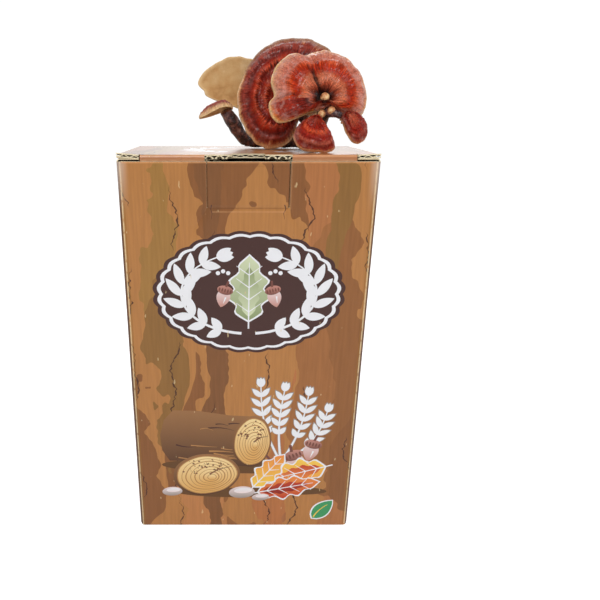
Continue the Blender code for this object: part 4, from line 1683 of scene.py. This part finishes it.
stems = {
    "frontStalk": {
        "node": "front_stalk",
        "lines": (
            (
                (25, 6, 3.4, 4.4), (27, -3, 10.4, 4.8), (28.6, -15, 18.6, 5), (28.6, -22, 25, 4.4),
                (28, -23.4, 30, 3.4),
            ),
            ((28.6, -20, 23.6, 4.2), (27.2, -22, 23.2, 3.6), (25.8, -23.4, 22.8, 3)),
            ((28.8, -21, 24.4, 3.8), (33, -26.6, 26.6, 3.4), (37, -30, 26, 3), (40.6, -31, 24.6, 2.5)),
            ((27, -4, 13, 4.2), (22, -1, 19, 3.8), (17, 3, 24, 3.4)),
        ),
        "buds": ((27.2, -27, 26, 2.8), (33.6, -29, 28, 2.8)),
    },
    "rearStalk": {
        "node": "rear_stalk",
        "lines": (
            ((24, 14, 5, 5), (8, 21, 5.4, 5.4), (-12, 22, 5, 5), (-25.5, 20.5, 4.4, 3.6)),
            ((-24, 20, 5.4, 4.8), (-30, 17, 12, 5), (-36, 12, 21, 5.4), (-41, 9, 28, 4.6)),
            ((-10, 22, 6, 4.6), (-14, 22.5, 16, 4.4), (-18, 22.5, 27.5, 3.6)),
        ),
        "buds": (),
    },
}
stemWork = {
    "voxel": 0.75 * mm,
    "knobs": 0.75,
    "knobSize": 5.5,
    "wrinkle": 0.28,
    "wrinkleSize": 1.6,
    "capBud": (28.6, -28.2, 36.6, 3.2),
    "bark": ((0.34, (24, 13, 16)), (0.47, (56, 32, 35)), (0.56, (104, 64, 60)), (0.68, (164, 120, 106))),
    # Pale flakes, partly painted glints
    "flakesAndGlints": (176, 146, 132),
    "bud": ((0.34, (150, 84, 50)), (0.47, (208, 138, 88)), (0.62, (240, 200, 144))),
}


def stemTube(points):
    data = bpy.data.curves.new("stem", "CURVE")
    data.dimensions = "3D"
    data.bevel_depth = mm
    data.bevel_resolution = 5
    data.resolution_u = 8
    data.use_fill_caps = True
    spline = data.splines.new("BEZIER")
    spline.bezier_points.add(len(points) - 1)
    for knot, (x, y, z, radius) in zip(spline.bezier_points, points):
        knot.co = clusterPoint((x, y, z))
        knot.radius = radius
        knot.handle_left_type = knot.handle_right_type = "AUTO"
    tube = bpy.data.objects.new("stem", data)
    bpy.context.scene.collection.objects.link(tube)
    pick(tube)
    bpy.ops.object.convert(target="MESH")
    return bpy.context.object


def growBud(x, y, z, radius, seed):
    # A blunt young bud with a wrinkled foot
    place = clusterPoint((x, y, z))
    bpy.ops.mesh.primitive_uv_sphere_add(segments=48, ring_count=32, radius=radius * mm, location=place)
    bud = bpy.context.object
    bpy.ops.object.transform_apply(location=True, rotation=False, scale=False)
    for vert in bud.data.vertices:
        vert.co += vert.normal * noise.noise(vert.co * 320 + Vector((seed, 0, 0))) * 0.35 * mm
    bpy.ops.object.shade_smooth()
    setSkins(bud, skins["bud"])
    return bud


def growStalk(name, seed):
    spec = stems[name]
    stalk = joined(name, [stemTube(line) for line in spec["lines"]])
    applied(stalk, "REMESH", mode="VOXEL", voxel_size=stemWork["voxel"])
    applied(stalk, "SMOOTH", factor=0.6, iterations=6)
    applied(stalk, "SUBSURF", levels=1, render_levels=1)
    for vert, way in zip(stalk.data.vertices, [vert.normal.copy() for vert in stalk.data.vertices]):
        place = vert.co / mm
        knobs = noise.noise(place / stemWork["knobSize"] + Vector((seed, 0, 0))) * stemWork["knobs"]
        wrinkle = abs(noise.noise(place / stemWork["wrinkleSize"])) * -stemWork["wrinkle"]
        vert.co += way * (knobs + wrinkle) * mm
        vert.co.z = max(vert.co.z, cluster["floor"])
    setSkins(stalk, skins["stalk"])
    buds = [growBud(*bud, seed + i) for i, bud in enumerate(spec["buds"])]
    stalk = joined(name, [stalk] + buds)
    finished(stalk, name, spec["node"], angle=80)


def stalkSkin():
    skin = newSkin("stalkSkin", Coat_Weight=0.4, Coat_Roughness=0.14)
    place = objectPlace(skin)
    cloud = noiseOn(place, 170.0, detail=5, rough=0.62)
    # Pale flakes, partly painted glints on the dark stalk
    flakesAndGlints = between(noiseOn(place, 620.0, detail=3), 0.66, 0.72) * 0.55
    colour = painted(rampOf(cloud, stemWork["bark"]), [(stemWork["flakesAndGlints"], flakesAndGlints)])
    dress(skin, Base_Color=colour, Roughness=cloud * 0.35 + 0.1)
    return bumped(skin, noiseOn(place, 420.0, detail=5, rough=0.6), 0.0011)


def budSkin():
    skin = newSkin("budSkin", Roughness=0.5)
    cloud = noiseOn(objectPlace(skin), 330.0, detail=4)
    return bumped(dress(skin, Base_Color=rampOf(cloud, stemWork["bud"])), cloud, 0.0005)


def makeCluster():
    for seed, (name, spec) in enumerate(caps.items()):
        cap = growCap(name, seed * 11 + 4)
        if name == "frontCap":
            cap = joined(name, [cap, growBud(*stemWork["capBud"], 9)])
        finished(cap, name, spec["node"], angle=89)
    for seed, name in enumerate(stems):
        growStalk(name, seed * 5 + 1)


makeCamera()
makeStudio()
print("camera and studio set")
fibres = fibreGroup()
skins = {
    "raw": rawSkin("rawBoard", fibres, board["raw"]),
    "inside": rawSkin("boardInsideShade", fibres, board["inside"]),
    "printed": printedSkin("printedBoard", barkGroup(), fibres),
    "pores": poreSkin(),
    "stalk": stalkSkin(),
    "bud": budSkin(),
    "bag": bagSkin(),
}
groups = {"growth": growthGroup()}
print("finishes made")
makeBody()
makeLid()
makeDustFlaps()
makeBottomFlaps()
makeBag()
print("carton and bag made")
makeCluster()
print("cluster made")
